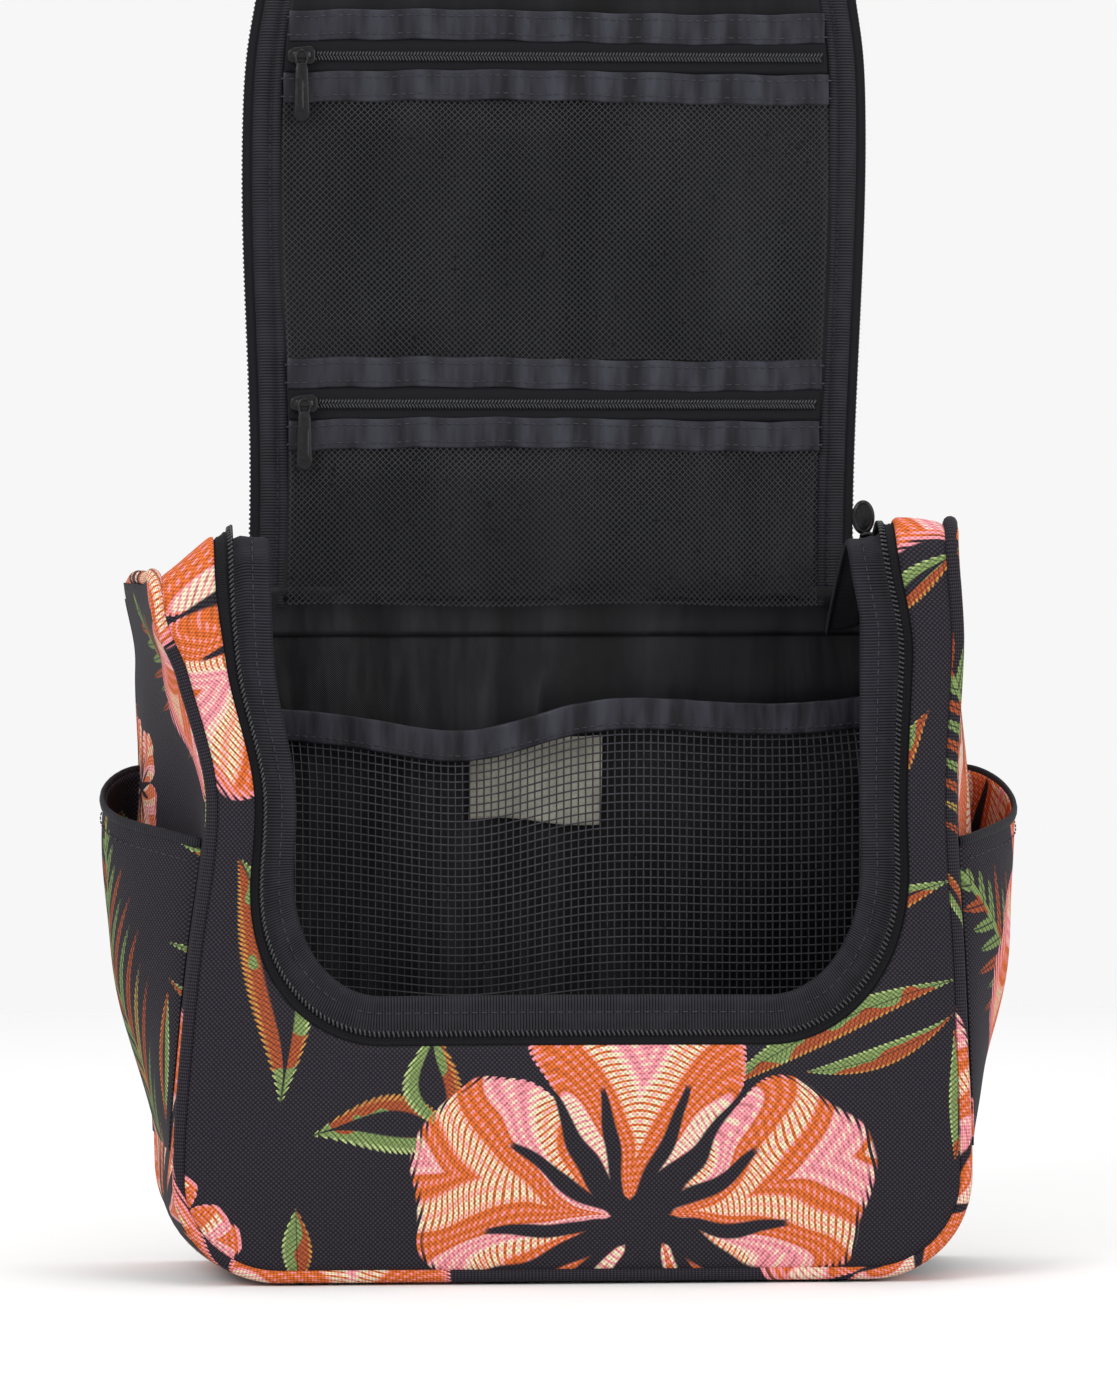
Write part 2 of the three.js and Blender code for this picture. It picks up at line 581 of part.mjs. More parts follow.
// One zipped net pocket: the net, a satin trim each side of the zip, its tape and coil.
function pocketOnLid(name, start, zipAt) {
  const half = OPENING_HALF - LID_FIELD_MARGIN;
  const layer = (from, to, top, thickness) => block(-half, half, top - thickness, top, from, to);
  const zipHalf = POCKET_ZIP_WIDTH / 2;
  const belowZip = zipAt - zipHalf;
  const aboveZip = zipAt + zipHalf;
  const netTop = belowZip - POCKET_TRIM_WIDTH - GAP;
  add(lid, `pocket_mesh_${name}`, layer(start, netTop, POCKET_TOP, POCKET_NET), FINISHES.net);
  const lowerTrim = layer(netTop + GAP, belowZip, POCKET_TOP, POCKET_TRIM);
  add(lid, `pocket_trim_${name}_a`, lowerTrim, FINISHES.satin);
  const upperTrim = layer(aboveZip, aboveZip + POCKET_TRIM_WIDTH, POCKET_TOP, POCKET_TRIM);
  add(lid, `pocket_trim_${name}_b`, upperTrim, FINISHES.satin);
  const tape = layer(belowZip + GAP, aboveZip - GAP, POCKET_TOP, TAPE_THICKNESS);
  add(lid, `pocket_zip_tape_${name}`, tape, FINISHES.zipTape);
  const coilTop = POCKET_TOP - TAPE_THICKNESS - GAP;
  const coilHalf = POCKET_COIL_WIDTH / 2;
  const coil = layer(zipAt - coilHalf, zipAt + coilHalf, coilTop, POCKET_COIL);
  add(lid, `pocket_coil_${name}`, coil, FINISHES.zipTeeth);

  const sliderX = -half + SLIDER_END_MARGIN;
  const sliderTop = coilTop - POCKET_COIL - GAP;
  const slider = block(
    sliderX - SLIDER_LENGTH / 2, sliderX + SLIDER_LENGTH / 2,
    sliderTop - SLIDER_PLATE, sliderTop,
    zipAt - SLIDER_WIDTH / 2, zipAt + SLIDER_WIDTH / 2,
  );
  add(lid, `slider_${name}`, slider, FINISHES.blackMetal);
  const pull = add(lid, `pull_${name}`, pullTab(), FINISHES.blackMetal);
  pull.position.set(sliderX, sliderTop - SLIDER_PLATE - GAP, zipAt);
}

// A tapered pull with an eye, hanging from its eye at the origin, its back at y 0.
function pullTab() {
  const eyeRadius = PULL_TOP_WIDTH / 2;
  const outline = new THREE.Shape();
  outline.absarc(0, 0, eyeRadius, 0, Math.PI);
  outline.lineTo(-PULL_WIDTH / 2, -PULL_LENGTH + PULL_WIDTH / 2);
  outline.absarc(0, -PULL_LENGTH + PULL_WIDTH / 2, PULL_WIDTH / 2, Math.PI, 2 * Math.PI);
  outline.holes.push(new THREE.Path().absarc(0, 0, eyeRadius / 2, 0, 2 * Math.PI, true));
  const geometry = new THREE.ExtrudeGeometry(outline, {
    depth: PULL_THICKNESS, bevelEnabled: false, curveSegments: 6,
  });
  return geometry.rotateX(Math.PI / 2);
}

function buildLidTop() {
  const fieldInset = LID_FIELD_MARGIN;
  const shellEnd = FOLD_AT - foldClearance(MID_WALL);
  add(lid, 'lid_top_shell', lidLayer(LID_HINGE_CLEARANCE, shellEnd, PRINT_EDGE, MID_WALL, PANEL), FINISHES.printedCanvas);
  const padEnd = FOLD_AT - foldClearance(-LINING_TOP);
  add(lid, 'lid_top_pad', lidLayer(SEAM + MID_WALL, padEnd, fieldInset, INNER_FACE, LID_PAD), FINISHES.foam);
  add(lid, 'lid_top_lining', lidLayer(SEAM, padEnd, fieldInset, LINING_TOP, LINING), FINISHES.satin);
  const tapeInset = ZIP_SPLIT + GAP / 2;
  const bindingInset = PRINT_EDGE - TAPE_SHOWN + GAP;
  const strips = [
    ['zip_teeth_lid', ZIP_SPLIT, TEETH_WIDTH, TEETH_TOP, TEETH_THICKNESS, FINISHES.zipTeeth],
    ['zip_tape_lid', tapeInset, TAPE_WIDTH, TAPE_TOP, TAPE_THICKNESS, FINISHES.zipTape],
    ['lid_top_binding', bindingInset, LID_BINDING_WIDTH, LID_BINDING_TOP, LID_BINDING_THICKNESS, FINISHES.grosgrain],
  ];
  for (const [name, inset, width, top, thickness, finish] of strips) {
    const end = FOLD_AT - foldClearance(thickness - top);
    const outer = OPENING_HALF - inset;
    for (const [sideName, side] of [['left', -1], ['right', 1]]) {
      const edges = [side * outer, side * (outer - width)].sort((a, b) => a - b);
      const strip = block(edges[0], edges[1], top - thickness, top, ZIP_REAR_CLEARANCE, end);
      add(lid, `${name}_${sideName}`, strip, finish);
    }
  }
  pocketOnLid('lower', LOWER_POCKET_START, FOLD_AT - LOWER_ZIP_BEFORE_FOLD);
  add(lid, 'carry_handle', carryHandle(), FINISHES.webbing);
}

// A webbing strap sewn down at its two ends and arched between them.
function carryHandle() {
  const middle = FOLD_AT / 2;
  const surface = (proud) => (u, v) => {
    const x = mix(-CARRY_HANDLE_LENGTH / 2, CARRY_HANDLE_LENGTH / 2, v);
    const along = mix(middle - CARRY_HANDLE_WIDTH / 2, middle + CARRY_HANDLE_WIDTH / 2, u);
    const rise = CARRY_HANDLE_RISE * Math.sin(Math.PI * v) ** 2;
    return new THREE.Vector3(x, MID_WALL + GAP + rise + proud, along);
  };
  return sheet(surface(PANEL), surface(0), 1, 14);
}

function buildLidFront() {
  const shellStart = FOLD_AT + foldClearance(MID_WALL);
  const shellEnd = TIP_AT - PRINT_EDGE;
  add(lid, 'lid_front_shell', lidLayer(shellStart, shellEnd, PRINT_EDGE, MID_WALL, PANEL), FINISHES.printedCanvas);
  const fieldStart = FOLD_AT + foldClearance(POCKET_TRIM - POCKET_TOP);
  const fieldEnd = TIP_AT - LID_FIELD_MARGIN;
  const pad = lidLayer(fieldStart, fieldEnd, LID_FIELD_MARGIN, INNER_FACE, LID_PAD);
  add(lid, 'lid_front_pad', pad, FINISHES.foam);
  const lining = lidLayer(fieldStart, fieldEnd, LID_FIELD_MARGIN, LINING_TOP, LINING);
  add(lid, 'lid_front_lining', lining, FINISHES.satin);

  const tapeInset = ZIP_SPLIT + GAP / 2;
  const bindingInset = PRINT_EDGE - TAPE_SHOWN + GAP;
  const rims = [
    ['zip_teeth_lid_front', ZIP_SPLIT, TEETH_WIDTH, TEETH_TOP, TEETH_THICKNESS, FINISHES.zipTeeth],
    ['zip_tape_lid_front', tapeInset, TAPE_WIDTH, TAPE_TOP, TAPE_THICKNESS, FINISHES.zipTape],
    ['lid_front_binding', bindingInset, LID_BINDING_WIDTH, LID_BINDING_TOP, LID_BINDING_THICKNESS, FINISHES.grosgrain],
  ];
  for (const [name, inset, width, top, thickness, finish] of rims) {
    const start = FOLD_AT + foldClearance(thickness - top);
    add(lid, name, lidRim(start, inset, inset + width, top, thickness), finish);
  }
  pocketOnLid('upper', FOLD_AT + UPPER_POCKET_START, FOLD_AT + UPPER_ZIP_PAST_FOLD);
}

// The hook's fabric tab, its folding base and the swivelling hook, above the lid's tip.
function buildHook() {
  const tabTop = MID_WALL + GAP + TAB_THICKNESS;
  const tabEnd = TIP_AT + TAB_OVERHANG;
  const tab = block(-TAB_WIDTH / 2, TAB_WIDTH / 2, tabTop - TAB_THICKNESS, tabTop, TIP_AT - TAB_SEWN, tabEnd);
  add(lid, 'hanger_tab', tab, FINISHES.webbing);
  const baseStart = tabEnd + HOOK_BASE_THICKNESS / 3;
  const baseEnd = baseStart + HOOK_BASE_HEIGHT;
  const base = block(
    -HOOK_BASE_WIDTH / 2, HOOK_BASE_WIDTH / 2,
    HOOK_OFFSET - HOOK_BASE_THICKNESS / 2, HOOK_OFFSET + HOOK_BASE_THICKNESS / 2,
    baseStart, baseEnd,
  );
  add(lid, 'hook_base', base, FINISHES.hookPlastic);

  const stemTop = baseEnd + GAP + HOOK_STEM;
  const centre = stemTop + HOOK_BEND_RADIUS;
  const points = [
    new THREE.Vector3(0, HOOK_OFFSET, baseEnd + GAP),
    new THREE.Vector3(0, HOOK_OFFSET, baseEnd + GAP + HOOK_STEM / 2),
  ];
  const bendSteps = 12;
  for (let i = 0; i <= bendSteps; i++) {
    const angle = radians(-90 + (HOOK_TURN * i) / bendSteps);
    const x = HOOK_BEND_RADIUS * Math.cos(angle);
    points.push(new THREE.Vector3(x, HOOK_OFFSET, centre + HOOK_BEND_RADIUS * Math.sin(angle)));
  }
  add(lid, 'hanging_hook', tube(points, HOOK_WIRE_RADIUS, 8), FINISHES.hookPlastic);
}

// The main zip's slider rides on the right shoulder: two plates joined by a post that
// runs between the two rows of teeth. Its pull stands on the outer plate.
function buildMainSlider() {
  const fall = radians(ZIP_SLOPE);
  const rails = new THREE.Group();
  const arcEndY = FRONT_Y + TOP_EDGE_RADIUS + TOP_EDGE_RADIUS * Math.sin(fall);
  const arcEndZ = SIDE_TOP + TOP_EDGE_RADIUS * Math.cos(fall);
  rails.position.set(OPENING_HALF, arcEndY, arcEndZ);
  rails.rotation.x = -fall;
  bag.add(rails);

  const half = MAIN_SLIDER_WIDTH / 2;
  const post = MAIN_SLIDER_POST / 2;
  const under = -(TAPE_DEPTH + TAPE_THICKNESS + GAP);
  const over = -(TEETH_DEPTH - GAP);
  const section = new THREE.Shape();
  section.moveTo(-half, over + MAIN_SLIDER_PLATE);
  section.lineTo(half, over + MAIN_SLIDER_PLATE);
  section.lineTo(half, over);
  section.lineTo(post, over);
  section.lineTo(post, under);
  section.lineTo(half, under);
  section.lineTo(half, under - MAIN_SLIDER_PLATE);
  section.lineTo(-half, under - MAIN_SLIDER_PLATE);
  section.lineTo(-half, under);
  section.lineTo(-post, under);
  section.lineTo(-post, over);
  section.lineTo(-half, over);
  const body = new THREE.ExtrudeGeometry(section, { depth: MAIN_SLIDER_LENGTH, bevelEnabled: false });
  body.rotateX(Math.PI / 2).translate(0, MAIN_SLIDER_AT + MAIN_SLIDER_LENGTH, 0);
  add(rails, 'main_slider', body, FINISHES.blackMetal);

  const tab = new THREE.Shape();
  tab.absellipse(0, MAIN_PULL_LENGTH / 2, MAIN_PULL_WIDTH / 2, MAIN_PULL_LENGTH / 2, 0, 2 * Math.PI);
  const pull = new THREE.ExtrudeGeometry(tab, { depth: PULL_THICKNESS, bevelEnabled: false, curveSegments: 8 });
  pull.rotateX(Math.PI / 2).translate(0, PULL_THICKNESS / 2, 0);
  const standing = add(rails, 'main_pull', pull, FINISHES.blackMetal);
  standing.rotation.x = fall;
  standing.position.set(0, MAIN_SLIDER_AT + MAIN_SLIDER_LENGTH / 2, over + MAIN_SLIDER_PLATE + 2 * GAP);
}

buildBody();
buildBodyZip();
buildInnerPocket();
buildLidTop();
buildLidFront();
buildHook();
buildMainSlider();

export default bag;
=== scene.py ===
import json
import math

import bpy
import numpy as np
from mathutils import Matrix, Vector


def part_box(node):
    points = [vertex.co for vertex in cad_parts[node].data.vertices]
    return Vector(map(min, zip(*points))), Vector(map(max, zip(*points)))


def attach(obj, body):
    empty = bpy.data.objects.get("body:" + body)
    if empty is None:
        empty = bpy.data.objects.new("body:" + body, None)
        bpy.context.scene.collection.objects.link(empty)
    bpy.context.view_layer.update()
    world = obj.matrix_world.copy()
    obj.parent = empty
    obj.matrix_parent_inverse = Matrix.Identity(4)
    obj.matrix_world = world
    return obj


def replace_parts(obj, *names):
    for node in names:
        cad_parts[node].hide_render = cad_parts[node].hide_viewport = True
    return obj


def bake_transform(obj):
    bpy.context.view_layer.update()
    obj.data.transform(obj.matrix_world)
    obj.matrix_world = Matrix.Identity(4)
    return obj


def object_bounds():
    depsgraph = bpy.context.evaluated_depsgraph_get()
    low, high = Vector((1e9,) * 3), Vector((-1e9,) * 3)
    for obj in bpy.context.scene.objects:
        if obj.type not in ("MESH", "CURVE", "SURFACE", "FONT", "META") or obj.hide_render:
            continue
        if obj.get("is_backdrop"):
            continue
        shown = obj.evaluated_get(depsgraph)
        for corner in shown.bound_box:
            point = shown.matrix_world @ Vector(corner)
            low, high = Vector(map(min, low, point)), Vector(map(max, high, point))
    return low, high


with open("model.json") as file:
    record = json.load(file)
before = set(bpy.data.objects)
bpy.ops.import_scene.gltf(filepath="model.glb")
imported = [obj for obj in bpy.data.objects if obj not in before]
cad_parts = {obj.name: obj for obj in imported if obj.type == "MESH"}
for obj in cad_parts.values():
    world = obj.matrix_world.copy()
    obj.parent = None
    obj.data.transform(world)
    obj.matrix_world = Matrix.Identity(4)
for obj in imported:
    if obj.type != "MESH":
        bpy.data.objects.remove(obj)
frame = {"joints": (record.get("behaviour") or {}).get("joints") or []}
cad_low, cad_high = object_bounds()

# ---------------------------------------------------------------------------
# The studio: a plain pale floor, even white light from all round, a large softbox
# either side of the camera and one overhead.
# ---------------------------------------------------------------------------
aim = Vector((-0.0058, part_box("front_panel")[0].y, 0.184))
azimuth, elevation = math.radians(-4.0), math.radians(1.5)
toward_camera = Vector((
    math.sin(azimuth) * math.cos(elevation),
    -math.cos(azimuth) * math.cos(elevation),
    math.sin(elevation),
))
camera = bpy.data.objects.new("camera", bpy.data.cameras.new("camera"))
bpy.context.scene.collection.objects.link(camera)
camera.data.lens = 197
camera.location = aim + toward_camera * 2.4
camera.rotation_mode = "QUATERNION"
camera.rotation_quaternion = (-toward_camera).to_track_quat("-Z", "Y")
bpy.context.scene.camera = camera
bpy.context.scene.view_settings.view_transform = "Standard"

world = bpy.data.worlds.new("white_room")
world.use_nodes = True
world.node_tree.nodes["Background"].inputs["Color"].default_value = (0.93, 0.93, 0.93, 1)
world.node_tree.nodes["Background"].inputs["Strength"].default_value = 1.0
bpy.context.scene.world = world


def softbox(name, place, size, watts):
    """A square area light at place, turned to face the middle of the bag."""
    lamp = bpy.data.objects.new(name, bpy.data.lights.new(name, "AREA"))
    bpy.context.scene.collection.objects.link(lamp)
    lamp.data.size = size
    lamp.data.energy = watts
    lamp.location = place
    lamp.rotation_mode = "QUATERNION"
    lamp.rotation_quaternion = (Vector((0, 0, 0.2)) - Vector(place)).to_track_quat("-Z", "Y")


softbox("key_softbox", (-1.2, -1.5, 1.3), 0.9, 20)
softbox("fill_softbox", (1.3, -1.4, 0.8), 0.9, 12)
softbox("top_softbox", (0.1, 0.1, 1.8), 0.8, 9)


def lay_grid(name, points, cloth=None, wrap_rows=False, wrap_columns=False):
    """A mesh through a grid of points given in millimetres, rows by columns. A wrapped side joins its last
    line to its first. The cloth map holds each point's place on its own fabric."""
    rows, columns = points.shape[:2]
    index = np.arange(rows * columns).reshape(rows, columns)
    if wrap_rows:
        index = np.vstack([index, index[:1]])
    if wrap_columns:
        index = np.hstack([index, index[:, :1]])
    faces = np.stack([index[:-1, :-1], index[:-1, 1:], index[1:, 1:], index[1:, :-1]], -1).reshape(-1, 4)
    mesh = bpy.data.meshes.new(name)
    mesh.from_pydata((points.reshape(-1, 3) * 0.001).tolist(), [], faces.tolist())
    if cloth is not None:
        layer = mesh.uv_layers.new(name="cloth")
        flat = (cloth.reshape(-1, 2) * 0.001)[faces.reshape(-1)]
        layer.data.foreach_set("uv", flat.reshape(-1).astype(np.float32))
    mesh.polygons.foreach_set("use_smooth", np.ones(len(faces), bool))
    mesh.update()
    piece = bpy.data.objects.new(name, mesh)
    bpy.context.scene.collection.objects.link(piece)
    return piece


floor_x, floor_y = np.meshgrid(np.linspace(-1700, 1700, 12), np.linspace(-2600, 1250, 12), indexing="ij")
floor_grid = np.stack([floor_x, floor_y, np.full(floor_x.shape, -0.8)], -1)
floor = lay_grid("pale_floor", floor_grid)
pale_paper = bpy.data.materials.new("pale_paper")
pale_paper.use_nodes = True
pale_paper.node_tree.nodes["Principled BSDF"].inputs["Base Color"].default_value = (0.8, 0.8, 0.8, 1)
pale_paper.node_tree.nodes["Principled BSDF"].inputs["Roughness"].default_value = 0.9
pale_paper.node_tree.nodes["Principled BSDF"].inputs["Specular IOR Level"].default_value = 0.1
floor.data.materials.append(pale_paper)
floor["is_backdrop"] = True

# ---------------------------------------------------------------------------
# Front cloth and shoulders: one cut of printed polyester canvas, a wide U between
# the zip and the piped seam that rolls over the top edge and falls to the back.
# Its inner edge is folded under along the zip tape, its outer edge is in the seam.
# ---------------------------------------------------------------------------
FRONT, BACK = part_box("front_panel")[0].y * 1000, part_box("back_panel")[1].y * 1000
HALF_FRONT, HALF_BACK = 123.5, 131.0
EDGE_TOP, EDGE_RADIUS, BASE_CORNER = 227.0, 14.0, 31.0
ZIP_HALF, ZIP_BOTTOM, ZIP_FALL = 102.0, 80.0, math.radians(25)
SHOULDER_FALL = math.radians(12)
REAR = BACK - 7


def ease(value, low, high):
    """Smoothly from 0 at low to 1 at high."""
    t = np.clip((value - low) / (high - low), 0, 1)
    return t * t * (3 - 2 * t)


def half_width(y):
    """The bag widens evenly from front to back."""
    return np.interp(y, [FRONT, BACK], [HALF_FRONT, HALF_BACK])


def u_route(inset, half, bottom, wide, high, fall, widens):
    """A U on the bag: along the bottom, a quarter ellipse, up the side, a round over the top edge, then
    straight back down the fall. Left end to right end, with the cloth's own height beside each point."""
    turn = np.linspace(0, np.pi / 2, 40)[1:]
    x = np.r_[np.linspace(0, half - wide, 30), half - wide + wide * np.sin(turn)]
    z = np.r_[np.full(30, bottom), bottom + high - high * np.cos(turn)]
    side = np.linspace(bottom + high, EDGE_TOP, 36)[1:]
    x, z = np.r_[x, np.full(35, half)], np.r_[z, side]
    y = np.full(len(x), FRONT + inset)
    turn = np.linspace(0, np.pi / 2 + fall, 16)[1:]
    radius = EDGE_RADIUS - inset
    round_y, round_z = FRONT + EDGE_RADIUS - radius * np.cos(turn), EDGE_TOP + radius * np.sin(turn)
    run = np.linspace(0, (REAR - round_y[-1]) / math.cos(fall), 22)[1:]
    y = np.r_[y, round_y, round_y[-1] + run * math.cos(fall)]
    z = np.r_[z, round_z, round_z[-1] - run * math.sin(fall)]
    climb = np.r_[z[:-36], EDGE_TOP + EDGE_RADIUS * turn, EDGE_TOP + EDGE_RADIUS * turn[-1] + run]
    x = np.r_[x, np.full(36, half)] + (half_width(y) - HALF_FRONT if widens else 0)
    route = np.stack([x, y, z], -1)
    return np.vstack([(route * [-1, 1, 1])[::-1], route[1:]]), np.r_[climb[::-1], climb[1:]]


def slump(points):
    """How the empty bag sags, added to the pattern's place: the front edges draw in at mid height, more on
    the left, the left shoulder sinks and spreads, the right zip draws in over the top, the foot and the rear
    of the sides swell, and shallow ripples run over the cloth."""
    x, y, z = points[..., 0], points[..., 1], points[..., 2]
    outer, ahead = ease(np.abs(x), 55, 122), 1 - ease(y, -34, 34)
    left = ease(-x, -30, 30)
    middle, low = np.exp(-(((z - 150) / 42) ** 2)), np.exp(-(((z - 34) / 40) ** 2))
    draw = (7.0 * left + 3.0 * (1 - left)) * middle - (1.5 + 2.0 * left) * low
    top = np.maximum(ease(z, 196, 238), ease(y, -40, -26) * ease(z, 150, 215))
    at_seam = ease(-x, 99, 121)
    spread = left * (4.5 * ease(z, 150, 196) * ease(-x, 60, 100) + 6.0 * at_seam * ease(z, 192, 232))
    rear = ease(np.abs(x), 90, 125) * ease(y, -30, 25) * np.exp(-(((z - 130) / 58) ** 2))
    moved = np.array(points, float)
    moved[..., 0] -= (
        np.sign(x) * draw * outer * ahead + spread - (6.5 * np.sign(x) * left + 2.5 * (1 - left)) * rear
    )
    moved[..., 0] -= (1 - left) * ease(x, 60, 100) * (1 - 0.6 * ease(x, 104, 124)) * 6.5 * top
    moved[..., 1] += 1.0 * np.sin(x / 31 + z / 47) * ease(z, 6, 40) * ahead
    sink = at_seam * ease(z, 176, 236) * (17.0 - 9.0 * ease(y, -34, 30))
    moved[..., 2] += 0.8 * np.sin(x / 23 + 1.3) * ease(z, 60, 200) - left * sink
    return moved


def unit(vectors):
    """Each vector divided by its own length."""
    return vectors / np.maximum(np.linalg.norm(vectors, axis=-1, keepdims=True), 1e-9)


def zip_beside(offset, depth):
    """The zip's line moved outwards by offset and under the cloth by depth, with the cloth's height."""
    return u_route(depth, ZIP_HALF + offset, ZIP_BOTTOM - offset, 41 + offset, 53 + offset, ZIP_FALL, False)


seam_line, seam_climb = u_route(
    0.0, HALF_FRONT - 3.6, 3.6, BASE_CORNER - 3.6, BASE_CORNER - 3.6, SHOULDER_FALL, True
)
seam_line[:, 2] -= 3.6 * ease(seam_line[:, 1], FRONT, FRONT + 18)
edge_line, edge_climb = zip_beside(5.4, 0.0)
across = (0.5 - 0.5 * np.cos(np.linspace(0, np.pi, 30)))[None, :, None]
front_grid = edge_line[:, None] * (1 - across) + seam_line[:, None] * across
width = np.linalg.norm(seam_line - edge_line, axis=1)[:, None]
from_edge, from_seam = across[..., 0] * width, (1 - across[..., 0]) * width
roll_under = 1.7 * (1 - np.sqrt(1 - (1 - np.clip(from_edge / 1.7, 0, 1)) ** 2))
roll_under += 2.0 * (1 - np.sqrt(1 - (1 - np.clip(from_seam / 3.0, 0, 1)) ** 2))
crown = 1.5 * np.sin(np.pi * across[..., 0]) * np.clip(width / 30, 0.5, 1) * ease(edge_line[:, 2:3], 10, 60)
turn_over = np.arctan2(
    np.clip(edge_line[:, 2] - EDGE_TOP, 0, None), np.clip(FRONT + EDGE_RADIUS - edge_line[:, 1], 0.01, 99)
)
turn_over = np.where(edge_line[:, 1] > FRONT + EDGE_RADIUS, np.pi / 2 + 0.2, turn_over)
front_normal = np.stack([0 * turn_over, -np.cos(turn_over), np.sin(turn_over)], -1)
front_grid += front_normal[:, None] * (crown - roll_under)[..., None]
front_cut = np.stack(
    [front_grid[..., 0], edge_climb[:, None] * (1 - across[..., 0]) + seam_climb[:, None] * across[..., 0]],
    -1
)


def srgb(code):
    """A colour swatch's code as linear red, green and blue."""
    value = np.array([int(code[k:k + 2], 16) for k in (0, 2, 4)]) / 255
    linear = np.where(value <= 0.04045, value / 12.92, ((value + 0.055) / 1.055) ** 2.4)
    return (*linear.tolist(), 1.0)


class Bench:
    """A node tree on the workbench. Each call adds a node, plugs in its sockets and gives an output."""

    def __init__(self, tree):
        """Takes the node tree to work on."""
        self.tree = tree

    def plug(self, socket, value):
        """Links another socket to this one, or sets a plain value on it; None leaves it alone."""
        if isinstance(value, bpy.types.NodeSocket):
            self.tree.links.new(value, socket)
        elif value is not None:
            socket.default_value = value

    def node(self, kind, *values, out=0, **settings):
        """A shader node with its settings made and its first inputs plugged in order. Gives one output."""
        made = self.tree.nodes.new("ShaderNode" + kind)
        for key, value in settings.items():
            setattr(made, key, value)
        for socket, value in zip(made.inputs, values):
            self.plug(socket, value)
        return made.outputs[out]

    def maths(self, operation, *values):
        """One sum on plain numbers: the operation carried out on the values in order."""
        return self.node("Math", *values, operation=operation)

    def times(self, first, second):
        """The first times the second."""
        return self.maths("MULTIPLY", first, second)

    def plus(self, first, second):
        """The first plus the second."""
        return self.maths("ADD", first, second)

    def minus(self, first, second):
        """The first less the second."""
        return self.maths("SUBTRACT", first, second)

    def times_plus(self, first, second, third):
        """The first times the second, plus the third."""
        return self.maths("MULTIPLY_ADD", first, second, third)

    def sine(self, value):
        """The sine of a value in radians."""
        return self.maths("SINE", value)

    def object_place(self):
        """The point's place on the piece, in millimetres."""
        here = self.tree.nodes.new("ShaderNodeTexCoord").outputs["Object"]
        return self.vector("SCALE", here, None, None, 1000.0)

    def vector(self, operation, *values, out=0):
        """One sum on vectors: the operation carried out on the values in order."""
        return self.node("VectorMath", *values, operation=operation, out=out)

    def step(self, value, low, high, to_low=0.0, to_high=1.0):
        """Smoothly from to_low where the value is low, to to_high where it is high."""
        return self.node("MapRange", value, low, high, to_low, to_high, interpolation_type="SMOOTHSTEP")

    def mix(self, share, first, second, blend_type="MIX"):
        """A colour between the first and the second, by the share of the second."""
        made = self.tree.nodes.new("ShaderNodeMix")
        made.data_type = "RGBA"
        made.blend_type = blend_type
        self.plug(made.inputs["Factor"], share)
        self.plug(made.inputs[6], first)
        self.plug(made.inputs[7], second)
        return made.outputs[2]

    def group(self, tree, **values):
        """A node group with its inputs plugged by name. Gives all its outputs."""
        made = self.tree.nodes.new("ShaderNodeGroup")
        made.node_tree = tree
        for key, value in values.items():
            self.plug(made.inputs[key], value)
        return made.outputs

    def bump(self, strength, distance, height, normal=None):
        """A normal that leans as the height rises and falls over the distance, in metres."""
        made = self.tree.nodes.new("ShaderNodeBump")
        made.inputs["Strength"].default_value = strength
        made.inputs["Distance"].default_value = distance
        self.plug(made.inputs["Height"], height)
        if normal is not None:
            self.plug(made.inputs["Normal"], normal)
        return made.outputs[0]


def new_group(name, inputs, outputs):
    """A node group with named sockets: its bench, its input sockets and its output node."""
    kinds = {"f": "NodeSocketFloat", "v": "NodeSocketVector", "c": "NodeSocketColor"}
    tree = bpy.data.node_groups.new(name, "ShaderNodeTree")
    for label, kind in inputs.items():
        tree.interface.new_socket(name=label, in_out="INPUT", socket_type=kinds[kind])
    for label, kind in outputs.items():
        tree.interface.new_socket(name=label, in_out="OUTPUT", socket_type=kinds[kind])
    return Bench(tree), tree.nodes.new("NodeGroupInput").outputs, tree.nodes.new("NodeGroupOutput").inputs


def finish_of(name, roughness=0.6):
    """A material: its bench, its Principled BSDF, and the fabric's place in millimetres, from its map."""
    material = bpy.data.materials.new(name)
    material.use_nodes = True
    bench = Bench(material.node_tree)
    surface = material.node_tree.nodes["Principled BSDF"]
    surface.inputs["Roughness"].default_value = roughness
    surface.inputs["Specular IOR Level"].default_value = 0.1
    cloth = bench.tree.nodes.new("ShaderNodeUVMap")
    cloth.uv_map = "cloth"
    return material, bench, surface, bench.vector("SCALE", cloth.outputs[0], None, None, 1000.0)


weave, put, give = new_group("plain_weave", {"Place": "v", "Pitch": "f"}, {"Height": "f", "Weave_Light_And_Slub": "f"})
turned = weave.vector("SCALE", put["Place"], None, None, weave.maths("DIVIDE", 2 * math.pi, put["Pitch"]))
turned_xyz = weave.node("SeparateXYZ", turned).node.outputs
over = weave.times(weave.sine(turned_xyz[0]), weave.sine(turned_xyz[1]))
weave.plug(give["Height"], weave.times_plus(over, 0.5, 0.5))
slub = weave.node("TexNoise", put["Place"], None, 0.9, 2.0, out=0, noise_dimensions="2D")
# The second output is painted light: the weave's crests painted lighter as a painted highlight and its hollows
# darker as painted shade, times the slub's random tone.
weave.plug(give["Weave_Light_And_Slub"], weave.times_plus(over, 0.5, weave.times_plus(slub, 0.5, 0.8)))
PLAIN_WEAVE = weave.tree

ORANGE, PINK, CREAM = srgb("bb5c2b"), srgb("d0828b"), srgb("cdbd9f")
RUST, GREEN, MUSTARD, NIGHT = srgb("8f4629"), srgb("6c7f4c"), srgb("a87c3e"), srgb("1f1c22")

